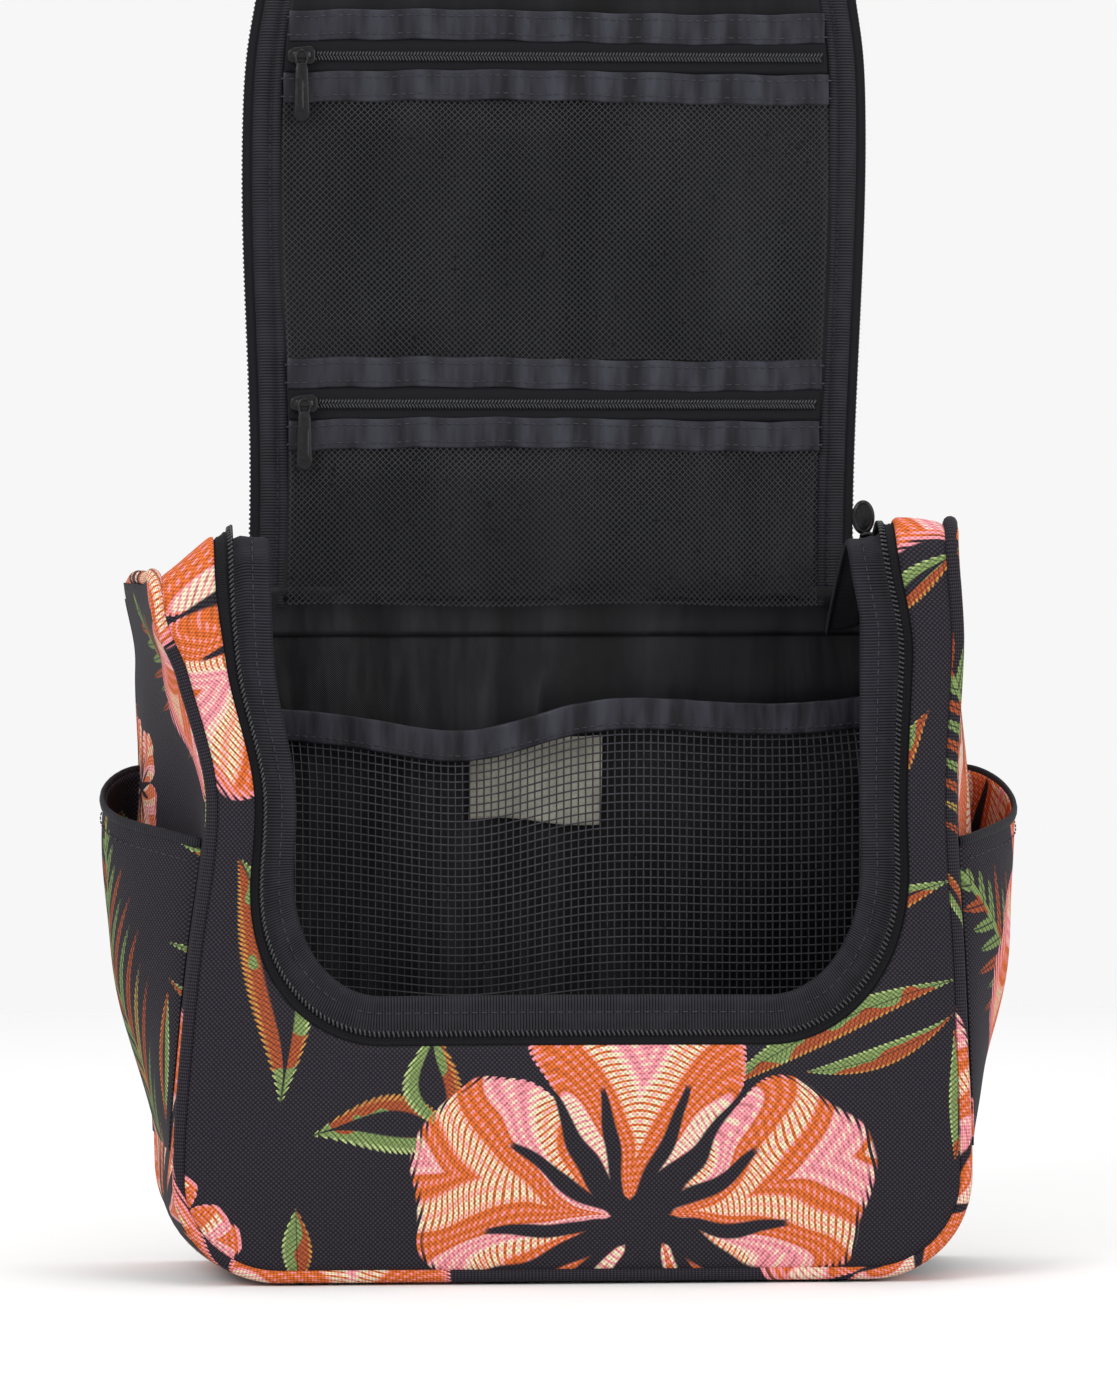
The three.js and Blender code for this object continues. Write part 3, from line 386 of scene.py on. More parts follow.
bloom, put, give = new_group(
    "five_petal_bloom", {"Place": "v", "Size": "f", "Turn": "f", "Kind": "f"}, {"Color": "c", "Mask": "f"}
)
wobble = bloom.node("TexNoise", put["Place"], None, 0.03, 1.0, noise_dimensions="2D", out=1)
sway = bloom.vector(
    "SCALE", bloom.vector("SUBTRACT", wobble, (0.5, 0.5, 0.5)), None, None, bloom.times(put["Size"], 0.16)
)
at = bloom.node("SeparateXYZ", bloom.vector("ADD", put["Place"], sway)).node.outputs
reach = bloom.maths("SQRT", bloom.plus(bloom.times(at[0], at[0]), bloom.times(at[1], at[1])))
r = bloom.maths("DIVIDE", reach, put["Size"])
angle = bloom.plus(bloom.maths("ARCTAN2", at[1], at[0]), put["Turn"])
sector = bloom.times(angle, 5 / (2 * math.pi))
petal = bloom.maths("FLOORED_MODULO", bloom.maths("ROUND", sector), 5.0)
f = bloom.minus(sector, bloom.maths("ROUND", sector))
a = bloom.times(bloom.maths("ABSOLUTE", f), 2.0)
chance = bloom.node("TexWhiteNoise", None, bloom.plus(petal, put["Kind"]), noise_dimensions="1D", out=0)
edge = bloom.minus(0.93, bloom.times(bloom.maths("POWER", a, 3.5), 0.38))
edge = bloom.times_plus(chance, 0.14, edge)
edge = bloom.times_plus(bloom.maths("COSINE", bloom.times(f, 15.0)), 0.045, edge)
inside = bloom.step(bloom.minus(edge, r), 0.0, 0.012)
border = bloom.times(bloom.minus(1.0, a), bloom.times(r, 0.628))
gap = bloom.times_plus(r, -0.115, 0.078)
open_gap = bloom.step(bloom.minus(border, gap), 0.0, 0.012)
vein = bloom.times(bloom.maths("ABSOLUTE", bloom.minus(a, 0.42)), bloom.times(r, 0.628))
vein_wide = bloom.times(bloom.sine(bloom.times_plus(r, 5.6, -0.35)), 0.026)
open_vein = bloom.maths(
    "MAXIMUM", bloom.step(bloom.minus(vein, vein_wide), 0.0, 0.012), bloom.step(r, 0.56, 0.6)
)
heart = bloom.step(r, 0.075, 0.1)
rim = bloom.maths("DIVIDE", bloom.minus(edge, r), edge)
swirl = bloom.times_plus(rim, 6.4, bloom.times(a, 7.4))
swirl = bloom.times_plus(chance, 9.0, swirl)
pink_band = bloom.step(bloom.sine(swirl), 0.55, 0.64)
cream_band = bloom.step(bloom.sine(bloom.times_plus(swirl, 1.3, 2.1)), 0.5, 0.6)
stitch_turn = bloom.times_plus(bloom.times(a, a), 4.5, bloom.times(reach, 3.1))
stitch = bloom.times_plus(bloom.sine(stitch_turn), 0.5, 0.5)
strand = bloom.times_plus(bloom.sine(bloom.times(swirl, 9.0)), 0.5, 0.5)
shade = bloom.mix(pink_band, ORANGE, PINK)
ribbed = bloom.step(bloom.maths("MINIMUM", stitch, bloom.plus(strand, 0.45)), 0.2, 0.42)
shade = bloom.mix(bloom.times(cream_band, ribbed), shade, CREAM)
dashes = bloom.times(bloom.step(bloom.plus(stitch, strand), 1.45, 1.6), 0.8)
shade = bloom.mix(dashes, shade, bloom.mix(pink_band, PINK, CREAM))
dark_gap = bloom.times(bloom.step(bloom.plus(stitch, strand), 0.42, 0.25), 0.45)
shade = bloom.mix(dark_gap, shade, bloom.mix(0.5, RUST, NIGHT))
rim_pink = bloom.times(bloom.step(rim, 0.09, 0.06), bloom.step(chance, 0.3, 0.35))
shade = bloom.mix(rim_pink, shade, bloom.mix(bloom.step(stitch, 0.3, 0.6), ORANGE, PINK))
bloom.plug(give["Color"], shade)
all_open = bloom.times(bloom.times(inside, open_gap), bloom.times(open_vein, heart))
fringe = bloom.maths("MAXIMUM", bloom.step(rim, 0.02, 0.05), bloom.step(stitch, 0.3, 0.5))
bloom.plug(give["Mask"], bloom.times(all_open, fringe))

leaf, put, give = new_group(
    "stitched_leaf",
    {"Place": "v", "Length": "f", "Width": "f", "Turn": "f", "Bend": "f", "Hollow": "f"},
    {"Color": "c", "Mask": "f"},
)
at = leaf.node("SeparateXYZ", put["Place"]).node.outputs
cos_turn, sin_turn = leaf.maths("COSINE", put["Turn"]), leaf.sine(put["Turn"])
run = leaf.plus(leaf.times(at[0], cos_turn), leaf.times(at[1], sin_turn))
side = leaf.minus(leaf.times(at[1], cos_turn), leaf.times(at[0], sin_turn))
u = leaf.plus(leaf.maths("DIVIDE", run, put["Length"]), 0.5)
bow = leaf.times(leaf.times(u, leaf.minus(1.0, u)), leaf.times(put["Bend"], 4.0))
v = leaf.maths("DIVIDE", leaf.minus(side, bow), put["Width"])
within = leaf.times(leaf.step(u, 0.0, 0.01), leaf.step(u, 1.0, 0.99))
belly = leaf.times(
    leaf.sine(leaf.times(leaf.node("Clamp", u, 0.001, 0.999), math.pi)), leaf.times_plus(u, -0.35, 1.15)
)
spread = leaf.maths("ABSOLUTE", v)
tick = leaf.sine(leaf.times(leaf.times_plus(leaf.times(spread, put["Width"]), 0.8, run), 3.6))
e = leaf.maths("DIVIDE", spread, leaf.maths("MAXIMUM", leaf.times_plus(tick, 0.045, belly), 0.02))
shape = leaf.times(leaf.step(e, 1.0, 0.94), within)
core = leaf.times(
    leaf.step(
        e, leaf.times(put["Hollow"], belly), leaf.times_plus(leaf.times(put["Hollow"], belly), 0.9, -0.04)
    ),
    leaf.step(u, 0.16, 0.2)
)
patch = leaf.node("TexNoise", put["Place"], None, 0.07, 1.0, noise_dimensions="2D", out=0)
halves = leaf.step(leaf.times_plus(leaf.minus(patch, 0.5), 3.0, v), -0.04, 0.04)
shade = leaf.mix(halves, RUST, GREEN)
bead = leaf.times(leaf.step(e, 0.72, 0.8), leaf.step(tick, -0.1, 0.4))
shade = leaf.mix(bead, shade, leaf.mix(halves, MUSTARD, srgb("98a56f")))
shade = leaf.mix(leaf.times(leaf.step(tick, -0.45, -0.85), 0.55), shade, NIGHT)
rib = leaf.step(spread, 0.05, 0.02)
leaf.plug(give["Color"], leaf.mix(leaf.times(rib, 0.7), shade, NIGHT))
leaf.plug(give["Mask"], leaf.times(shape, leaf.minus(1.0, core)))

frond, put, give = new_group(
    "palm_frond", {"Place": "v", "Length": "f", "Turn": "f"}, {"Color": "c", "Mask": "f"}
)
at = frond.node("SeparateXYZ", put["Place"]).node.outputs
cos_turn, sin_turn = frond.maths("COSINE", put["Turn"]), frond.sine(put["Turn"])
run = frond.plus(frond.times(at[0], cos_turn), frond.times(at[1], sin_turn))
side = frond.minus(frond.times(at[1], cos_turn), frond.times(at[0], sin_turn))
side = frond.minus(side, frond.times(frond.times(run, run), 0.0035))
spread = frond.maths("ABSOLUTE", side)
u = frond.plus(frond.maths("DIVIDE", run, put["Length"]), 0.5)
lean = frond.minus(run, frond.times(spread, 0.95))
share = frond.maths("DIVIDE", lean, 8.5)
cell = frond.maths("ABSOLUTE", frond.minus(frond.maths("FRACT", share), 0.5))
which = frond.times_plus(frond.maths("SIGN", side), 17.0, frond.maths("FLOOR", share))
chance = frond.node("TexWhiteNoise", None, which, noise_dimensions="1D", out=0)
far = frond.times(frond.sine(frond.times(frond.node("Clamp", u, 0.001, 0.999), math.pi)), 30.0)
far = frond.times(far, frond.times_plus(chance, 0.4, 0.75))
e = frond.maths("DIVIDE", spread, frond.maths("MAXIMUM", far, 0.5))
tick = frond.sine(frond.times(spread, 3.4))
slim = frond.minus(0.33, frond.times(frond.times(e, e), 0.34))
blade = frond.step(frond.minus(frond.times_plus(tick, 0.03, slim), cell), 0.0, 0.05)
stem = frond.step(spread, 1.5, 1.1)
along = frond.times(frond.step(u, 0.0, 0.02), frond.step(u, 1.0, 0.98))
shade = frond.mix(frond.step(chance, 0.45, 0.5), GREEN, MUSTARD)
shade = frond.mix(frond.step(chance, 0.72, 0.76), shade, RUST)
shade = frond.mix(frond.times(frond.step(cell, 0.06, 0.03), 0.8), shade, NIGHT)
frond.plug(give["Color"], frond.mix(frond.times(frond.step(tick, -0.4, -0.8), 0.6), shade, NIGHT))
frond.plug(give["Mask"], frond.times(frond.maths("MAXIMUM", blade, stem), along))

ROLL_WIDE, ROLL_HIGH = 310.0, 400.0
BLOOMS = [
    (19.8, 16.8, 80, 0.0, 0.0), (-62, 205, 84, 0.63, 7.0), (116, 292, 66, 0.9, 19.0),
    (-131, 12, 27, 0.2, 31.0), (62, 152, 24, 0.5, 43.0)
]
LEAVES = [
    (-112, 134, -92, 57, 11.5, 8, 0.5), (-35, 44, -82, 47, 9.5, -5, 0.5), (-38, 47, -44, 80, 9.5, 5, 0.5),
    (45, 60, 120, 95, 5.0, 4, 0.0), (72, 66, 119, 84, 3.5, -4, 0.0), (78, 104, 120, 126, 4.5, 3, 0.25),
    (-87, -1, -87, 24, 4.6, 0, 0.0), (100, 208, 124, 230, 4.5, 2, 0.3), (101, 150, 113, 180, 4.0, 2, 0.0),
    (118, 38, 119, 80, 4.0, -2, 0.3), (-60, 250, -20, 300, 9.0, 6, 0.45), (20, 240, 66, 262, 8.0, -6, 0.4),
]
FRONDS = [(-150, 75, 120, 1.25), (0, 190, 110, 0.5)]
roll, put, give = new_group("floral_roll", {"Place": "v"}, {"Color": "c", "Mask": "f"})
half_roll = (ROLL_WIDE / 2, ROLL_HIGH / 2, 1.0)


def printed_motif(painted, cover, group, place, **values):
    """Prints one motif over what is there: its place is wrapped into the roll's repeat."""
    local = roll.vector("SUBTRACT", put["Place"], (place[0], place[1], 0.0))
    local = roll.vector("WRAP", local, half_roll, tuple(-h for h in half_roll))
    shade, mask = roll.group(group, Place=local, **values)
    return roll.mix(mask, painted, shade), roll.maths("MAXIMUM", cover, mask)


painted, cover = NIGHT, 0.0
for x, z, length, turn in FRONDS:
    painted, cover = printed_motif(painted, cover, frond.tree, (x, z), Length=float(length), Turn=turn)
for x0, z0, x1, z1, wide, bend, hollow in LEAVES:
    painted, cover = printed_motif(
        painted, cover, leaf.tree, ((x0 + x1) / 2, (z0 + z1) / 2), Length=math.hypot(x1 - x0, z1 - z0),
        Width=wide, Turn=math.atan2(z1 - z0, x1 - x0), Bend=float(bend), Hollow=hollow,
    )
for x, z, size, turn, kind in BLOOMS:
    painted, cover = printed_motif(
        painted, cover, bloom.tree, (x, z), Size=float(size), Turn=turn - math.pi / 2, Kind=kind
    )
roll.plug(give["Color"], painted)
roll.plug(give["Mask"], cover)

canvas, bench, surface, cloth = finish_of("printed_canvas_cloth", 0.82)
printed = bench.group(roll.tree, Place=cloth)
woven = bench.group(PLAIN_WEAVE, Place=cloth, Pitch=1.5)
# The print times the weave's second output: painted highlight on the yarn crests, painted shade in the
# hollows, and the slub's random tone.
print_with_painted_weave_light = bench.mix(1.0, printed["Color"], woven["Weave_Light_And_Slub"], "MULTIPLY")
bare = bench.minus(1.0, printed["Mask"])
# Painted highlight: the bare cloth's weave crests painted paler.
painted_crest_highlight = bench.times(bench.step(woven["Height"], 0.62, 0.95, 0.0, 0.55), bare)
print_with_painted_weave_light = bench.mix(painted_crest_highlight, print_with_painted_weave_light, srgb("464249"))
surface.inputs["Sheen Weight"].default_value = 0.02
surface.inputs["Sheen Roughness"].default_value = 0.5
bench.plug(surface.inputs["Base Color"], print_with_painted_weave_light)
bench.plug(surface.inputs["Roughness"], bench.step(printed["Mask"], 0.0, 1.0, 0.74, 0.86))
bench.plug(surface.inputs["Normal"], bench.bump(0.7, 0.0003, woven["Height"]))


def thicken(piece, thickness, offset=-1.0):
    """Gives a sheet its thickness in millimetres behind its face."""
    wall = piece.modifiers.new("thickness", "SOLIDIFY")
    wall.thickness = thickness * 0.001
    wall.offset = offset
    return piece


def outwards(piece, centre):
    """Turns all faces round if, taken together, they look towards the given centre and not away."""
    mesh = piece.data
    count = len(mesh.polygons)
    normals, middles, areas = np.empty(count * 3), np.empty(count * 3), np.empty(count)
    mesh.polygons.foreach_get("normal", normals)
    mesh.polygons.foreach_get("center", middles)
    mesh.polygons.foreach_get("area", areas)
    away = middles.reshape(-1, 3) * 1000 - centre
    if ((normals.reshape(-1, 3) * away).sum(1) * areas).sum() < 0:
        mesh.flip_normals()
    return piece


def sewn(piece, material, slot, body, *nodes):
    """Dresses a finished piece: its material, the body it moves with, the nodes it stands for; the slot is not
    used.
    """
    piece.data.materials.append(material)
    if body:
        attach(piece, body)
    if nodes:
        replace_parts(piece, *nodes)
    return piece


MIDDLE = np.array([0.0, 0.0, 110.0])
front_cloth = thicken(outwards(lay_grid("front_cloth", slump(front_grid), front_cut), MIDDLE), 1.0)
sewn(front_cloth, canvas, "printed_canvas", "bag", "front_panel", "shoulder_left", "shoulder_right")

# ---------------------------------------------------------------------------
# Side, base and back cloths: the same canvas. Each side runs from the shoulder
# down and round the bottom corner, where it meets the flat base. The back closes
# the box, and dips in the middle, where the lid is sewn on.
# ---------------------------------------------------------------------------
shoulder_half = seam_line[len(seam_line) // 2:]
shoulder_half = shoulder_half[shoulder_half[:, 2] >= EDGE_TOP - 0.01]


def side_wall(hand, inset, from_y, to_y, from_z=None):
    """A side: at each depth y the path falls straight from the shoulder to the corner, then follows a quarter
    circle to the base. Bulges by a sine each way and rolls in at its two seams."""
    y = from_y + (to_y - from_y) * (0.5 - 0.5 * np.cos(np.linspace(0, np.pi, 34)))[:, None]
    share = np.linspace(0, 1, 76)[None]
    top = np.interp(y, shoulder_half[:, 1], shoulder_half[:, 2]) - 1.0 - inset * 0.6
    corner = BASE_CORNER - inset
    length = top - BASE_CORNER + corner * np.pi / 2
    down = share * length
    angle = np.clip((down - (top - BASE_CORNER)) / corner, 0, np.pi / 2)
    x = half_width(y) - inset - corner + corner * np.cos(angle)
    z = np.where(angle > 0, BASE_CORNER - corner * np.sin(angle), top - down)
    depth = (y - from_y) / (to_y - from_y)
    seam = np.minimum(y - from_y, to_y - y)
    roll_in = 1.8 * (1 - np.sqrt(1 - (1 - np.clip(seam / 2.6, 0, 1)) ** 2)) * (inset < 1)
    swell = (1.7 if inset < 1 else 1.0) * np.sin(np.pi * depth) * np.sin(np.pi * share) ** 0.8
    swell = swell + 0.7 * np.sin(z / 21 + depth * 3) * np.sin(np.pi * depth)
    out = swell - roll_in
    points = np.stack(
        [(x + out * np.cos(angle)) * hand, y + 0 * x, z - out * np.sin(angle) * (inset < 1)], -1
    )
    return points, np.stack([y * -hand + 0 * x, top - down], -1)


for hand, name in ((-1, "left"), (1, "right")):
    points, cut = side_wall(hand, 0.0, FRONT + 2.2, BACK - 2.2)
    side_cloth = lay_grid("side_cloth_" + name, slump(points), cut + [34 if hand < 0 else -58, 0])
    thicken(outwards(side_cloth, MIDDLE), 1.0)
    sewn(side_cloth, canvas, "printed_canvas", "bag", "side_panel_" + name)

base_y = np.linspace(FRONT + 3.4, BACK - 3.4, 26)[:, None]
base_x = np.linspace(-1, 1, 50)[None] * (half_width(base_y) - BASE_CORNER)
base_seam = np.clip(1 - np.minimum(base_y - FRONT - 3.4, BACK - 3.4 - base_y) / 3, 0, 1)
base_z = 0.2 + 1.6 * base_seam ** 2 + 0 * base_x
base_grid = np.stack(np.broadcast_arrays(base_x, base_y, base_z), -1)
base_cloth = lay_grid("base_cloth", slump(base_grid), base_grid[..., :2] + [40, 250])
sewn(thicken(outwards(base_cloth, MIDDLE), 0.9), canvas, "printed_canvas", "bag", "bottom_panel")


def back_sheet(y, inset, rows=60):
    """The back's outline filled row by row: straight sides, quarter-circle corners, and a top edge that dips
    smoothly to the hinge between the shoulders."""
    across = np.linspace(-1, 1, 64)[None]
    share = np.linspace(0, 1, rows)[:, None]
    half = half_width(y) - inset
    top = 207.5 + 15 * ease(np.abs(across) * half, 103, half)
    z = inset + share * (top - inset)
    corner = BASE_CORNER - inset
    limit = half - corner + np.sqrt(np.clip(corner**2 - np.clip(BASE_CORNER - z, 0, corner) ** 2, 0, None))
    return across * limit, z, share


back_x, back_z, back_share = back_sheet(BACK, 3.2)
back_seam = np.clip(1 - np.minimum(np.abs(np.abs(back_x) - HALF_BACK + 3.2), back_z - 3.2) / 3, 0, 1)
back_y = (
    BACK - 1.6 * back_seam**2
    + 1.6 * np.sin(np.pi * np.linspace(0, 1, 64))[None] * np.sin(np.pi * back_share) ** 0.6
)
back_grid = np.stack([back_x, back_y, back_z], -1)
back_cloth = lay_grid("back_cloth", slump(back_grid), back_grid[..., ::2] * [-1, 1] + [150, 40])
sewn(thicken(outwards(back_cloth, MIDDLE), 1.0), canvas, "printed_canvas", "bag", "back_panel")

# ---------------------------------------------------------------------------
# Piping: a soft cord in a bias-cut cover of the printed canvas, sewn into the
# front and the back seams. The cover's ridge stands just proud of both cloths.
# ---------------------------------------------------------------------------


def cord_along(route, radius, sides):
    """A round cord: a ring of points about each point of the route, square to its run, turned as little as
    it can be against a fixed slanting direction."""
    run = unit(np.gradient(route, axis=0))
    first = unit(np.cross(run, unit(np.array([0.45, 0.77, 0.45]))))
    second = np.cross(run, first)
    turn = np.linspace(0, 2 * np.pi, sides, endpoint=False)[None, :, None]
    radius = np.broadcast_to(radius, (len(route),))[:, None, None]
    return route[:, None] + (np.cos(turn) * first[:, None] + np.sin(turn) * second[:, None]) * radius


def length_along(route):
    """The running sum of the steps between a route's points, from 0 at its start."""
    return np.r_[0, np.cumsum(np.linalg.norm(np.diff(route, axis=0), axis=1))]


def evenly(route, pitch):
    """Points spaced one pitch apart along a route, as near as fits its length."""
    along = length_along(route)
    at = np.linspace(0, along[-1], max(int(along[-1] / pitch), 2))
    return np.stack([np.interp(at, along, route[:, k]) for k in range(3)], -1)


def close_ends(piece, ring):
    """Adds the two end faces of a tube whose rings have that many points."""
    mesh = piece.data
    count = len(mesh.vertices)
    rows = np.empty(count * 3, np.float32)
    mesh.vertices.foreach_get("co", rows)
    faces = np.empty(len(mesh.loops), np.int32)
    mesh.loops.foreach_get("vertex_index", faces)
    layer = mesh.uv_layers.get("cloth")
    flat = np.zeros(len(faces) * 2, np.float32)
    if layer:
        layer.data.foreach_get("uv", flat)
    ends = [list(range(ring))[::-1], list(range(count - ring, count))]
    flat = np.r_[flat, np.zeros(ring * 4, np.float32)]
    slots = list(mesh.materials)
    new = bpy.data.meshes.new(mesh.name + "_closed")
    new.from_pydata(rows.reshape(-1, 3).tolist(), [], faces.reshape(-1, 4).tolist() + ends)
    if layer:
        new.uv_layers.new(name="cloth").data.foreach_set("uv", flat)
    new.polygons.foreach_set("use_smooth", np.r_[np.ones(len(faces) // 4, bool), False, False])
    for material in slots:
        new.materials.append(material)
    piece.data = new
    return piece


def tube(name, route, radius, sides, cut=None):
    """A cord as a closed piece, its cover's cloth laid on the bias: half along, half round."""
    ring = cord_along(route, radius, sides)
    along = length_along(route)[:, None]
    around = np.linspace(0, 2 * np.pi * np.max(radius), sides)[None]
    cloth = np.stack([0.7 * along + around, 0.7 * along - around], -1) + (cut if cut is not None else 0)
    piece = close_ends(lay_grid(name, ring, cloth, wrap_columns=True), sides)
    volume_check(piece)
    return piece


def volume_check(piece):
    """Turns a closed piece's faces outwards: its signed volume comes out positive."""
    mesh = piece.data
    mesh.calc_loop_triangles()
    corners = np.empty(len(mesh.loop_triangles) * 3, np.int32)
    mesh.loop_triangles.foreach_get("vertices", corners)
    places = np.empty(len(mesh.vertices) * 3, np.float32)
    mesh.vertices.foreach_get("co", places)
    triangle = places.reshape(-1, 3)[corners.reshape(-1, 3)]
    middle = places.reshape(-1, 3).mean(0)
    a, b, c = (triangle[:, k] - middle for k in range(3))
    if (a * np.cross(b, c)).sum() < 0:
        mesh.flip_normals()
    return piece


front_pipe, _ = u_route(
    2.4, HALF_FRONT - 2.4, 2.4, BASE_CORNER - 2.4, BASE_CORNER - 2.4, SHOULDER_FALL, True
)
front_piping = tube("front_piping", slump(evenly(front_pipe, 2.0)), 2.35, 12, [-20, 20])
sewn(front_piping, canvas, "printed_canvas", "bag", "piping_front")

corner_turn = np.linspace(0, np.pi / 2, 20)
back_corner = BASE_CORNER - 2.4
back_half = np.stack([
    np.r_[0, half_width(BACK) - BASE_CORNER + back_corner * np.sin(corner_turn), half_width(BACK) - 2.4],
    np.full(22, BACK - 2.4),
    np.r_[2.4, BASE_CORNER - back_corner * np.cos(corner_turn), 220.5],
], -1)
back_pipe = evenly(np.vstack([(back_half * [-1, 1, 1])[::-1], back_half[1:]]), 2.0)
sewn(
    tube("back_piping", slump(back_pipe), 2.35, 12, [60, 90]), canvas, "printed_canvas", "bag",
    "piping_back"
)

# ---------------------------------------------------------------------------
# Side pockets: open pouches of the same canvas, sewn into both seams and pleated
# flat at the bottom, with a narrow black binding and a stitched row along the hem.
# ---------------------------------------------------------------------------
bound, bench, surface, cloth = finish_of("grosgrain_ribbon", 0.7)
lines = bench.node("SeparateXYZ", cloth).node.outputs
rib = bench.times_plus(bench.sine(bench.times(lines[0], 2 * math.pi / 0.95)), 0.5, 0.5)
worn = bench.node("TexNoise", cloth, None, 0.12, 3.0, noise_dimensions="2D", out=0)
# Painted highlight on the ribs' crests and painted shade between them.
lit_rib_tone = bench.mix(rib, srgb("09080b"), srgb("2b2a30"))
bench.plug(
    surface.inputs["Base Color"], bench.mix(bench.step(worn, 0.35, 0.75, 0.0, 0.3), lit_rib_tone, srgb("2c2b31"))
)
bench.plug(surface.inputs["Roughness"], bench.step(rib, 0.0, 1.0, 0.78, 0.55))
bench.plug(surface.inputs["Normal"], bench.bump(0.55, 0.00022, rib))
surface.inputs["Sheen Weight"].default_value = 0.02
grosgrain = bound

thread, bench, surface, _ = finish_of("sewing_thread", 0.55)
place = bench.object_place()
twist = bench.node("TexNoise", place, None, 1.4, 2.0, out=0)
bench.plug(surface.inputs["Base Color"], bench.mix(twist, srgb("18171b"), srgb("48464d")))
bench.plug(surface.inputs["Roughness"], bench.step(twist, 0.2, 0.8, 0.45, 0.7))


def beads(name, centres, run, lift, half_length, half_wide, half_high):
    """Small rounded beads, one at each centre: four hexagon rings along the run, the end ones small, squashed
    to a width and a height."""
    run, lift = unit(run), unit(lift)
    cross = unit(np.cross(lift, run))
    lift = np.cross(run, cross)
    turn = np.linspace(0, 2 * np.pi, 6, endpoint=False)
    along = np.repeat([-1.0, -0.72, 0.72, 1.0], 6) * half_length
    size = np.repeat([0.5, 1.0, 1.0, 0.5], 6)
    shape = np.stack(
        [along, np.tile(np.cos(turn), 4) * size * half_wide, np.tile(np.sin(turn), 4) * size * half_high],
        -1
    )
    points = centres[:, None] + shape[None, :, :1] * run[:, None] + shape[None, :, 1:2] * cross[:, None]
    points = points + shape[None, :, 2:] * lift[:, None]
    ring = np.arange(6)
    nxt = (ring + 1) % 6
    quads = np.vstack([np.stack([ring, ring + 6, nxt + 6, nxt], -1) + 6 * k for k in range(3)])
    ends = np.stack([ring, (ring + 18)[::-1]])
    start = np.arange(len(centres))[:, None, None] * 24
    faces = (quads[None] + start).reshape(-1, 4).tolist() + (ends[None] + start).reshape(-1, 6).tolist()
    mesh = bpy.data.meshes.new(name)
    mesh.from_pydata((points.reshape(-1, 3) * 0.001).tolist(), [], faces)
    mesh.polygons.foreach_set("use_smooth", np.ones(len(faces), bool))
    mesh.update()
    piece = bpy.data.objects.new(name, mesh)
    bpy.context.scene.collection.objects.link(piece)
    return volume_check(piece)


def stitches(name, route, lift, body, pitch=3.3, length=2.3, radius=0.24):
    """A row of lock stitches: one bead of thread for each pitch along the route, sunk at both ends."""
    line = evenly(route, pitch)
    fine = length_along(route)
    at = np.linspace(0, fine[-1], len(line))
    lift = np.broadcast_to(lift, route.shape)
    up = np.stack([np.interp(at, fine, lift[:, k]) for k in range(3)], -1)
    row = beads(name, line, np.gradient(line, axis=0), up, length / 2, radius, radius)
    return sewn(row, thread, "webbing", body)


def pocket_hem(hand, u):
    """Where the hem runs: out from the front seam, round the bulge and back, higher at the rear."""
    y = -37.1 + 74.2 * u
    x = half_width(y) + 0.3 + (18.0 if hand < 0 else 16.5) * np.sin(np.pi * u) ** 0.7
    return np.stack([x * hand, y, 138 + 20 * u - 3.0 * np.sin(np.pi * u) ** 2], -1)


for hand, name in ((-1, "left"), (1, "right")):
    u = (0.5 - 0.5 * np.cos(np.linspace(0, np.pi, 48)))[:, None]
    v = np.linspace(0, 1, 54)[None]
    y = -37.1 + 74.2 * u
    full = np.sin(np.pi * v / 2) ** 0.9
    x = half_width(y) + 0.3 + (18.0 if hand < 0 else 16.5) * np.sin(np.pi * u) ** 0.7 * full
    x = x + 0.9 * np.sin(v * 9 + u * 7) * np.sin(np.pi * u) * np.sin(np.pi * v) + 0.6 * (1 - v)
    hem = 138 + 20 * u - 3.0 * np.sin(np.pi * u) ** 2
    z = 42 + v * (hem - 42)
    points = np.stack(np.broadcast_arrays(x * hand, y + 1.2 * np.sin(v * 5) * np.sin(np.pi * u), z), -1)
    cut = np.stack(np.broadcast_arrays(y * -hand * 1.25, z), -1) + ([-150, -12] if hand < 0 else [-6, 95])
    pocket = lay_grid("side_pocket_cloth_" + name, slump(points), cut)
    thicken(outwards(pocket, np.array([0, 0, 100.0])), 1.2)
    sewn(pocket, canvas, "printed_canvas", "bag", "side_pocket_" + name)
    share = np.linspace(0.0, 1, 60)
    rim = pocket_hem(hand, share)
    rim_ring = cord_along(slump(rim), 1.0, 10)
    rim_cloth = np.stack(np.broadcast_arrays(length_along(rim)[:, None], np.linspace(0, 6, 10)[None]), -1)
    rim_ring[..., 2] = rim[:, None, 2] + (rim_ring[..., 2] - rim[:, None, 2]) * 1.7 - 0.2
    binding = close_ends(lay_grid("pocket_binding_" + name, rim_ring, rim_cloth, wrap_columns=True), 10)
    sewn(volume_check(binding), grosgrain, "grosgrain_binding", "bag")
    row = pocket_hem(hand, share[2:-2]) + [0.3 * hand, 0, -6.0]
    stitches("pocket_stitches_" + name, slump(row), np.array([hand, 0, 0.0]), "bag")

# ---------------------------------------------------------------------------
# Main zip, the bag's half: a black woven tape with two ridges, sewn under the
# print's folded edge, and a coil of nylon whose loops stand along its inner edge.
# ---------------------------------------------------------------------------
tape_finish, bench, surface, cloth = finish_of("zip_tape_weave", 0.75)
herring = bench.node("SeparateXYZ", cloth).node.outputs
slant = bench.plus(herring[0], bench.maths("PINGPONG", herring[1], 1.2))
weft = bench.times_plus(bench.sine(bench.times(slant, 2 * math.pi / 0.8)), 0.5, 0.5)
# Painted highlight on the twill's raised lines and painted shade in the grooves between them.
bench.plug(surface.inputs["Base Color"], bench.mix(weft, srgb("08080a"), srgb("1e1d22")))
bench.plug(surface.inputs["Roughness"], bench.step(weft, 0.0, 1.0, 0.8, 0.62))
bench.plug(surface.inputs["Normal"], bench.bump(0.5, 0.00018, weft))

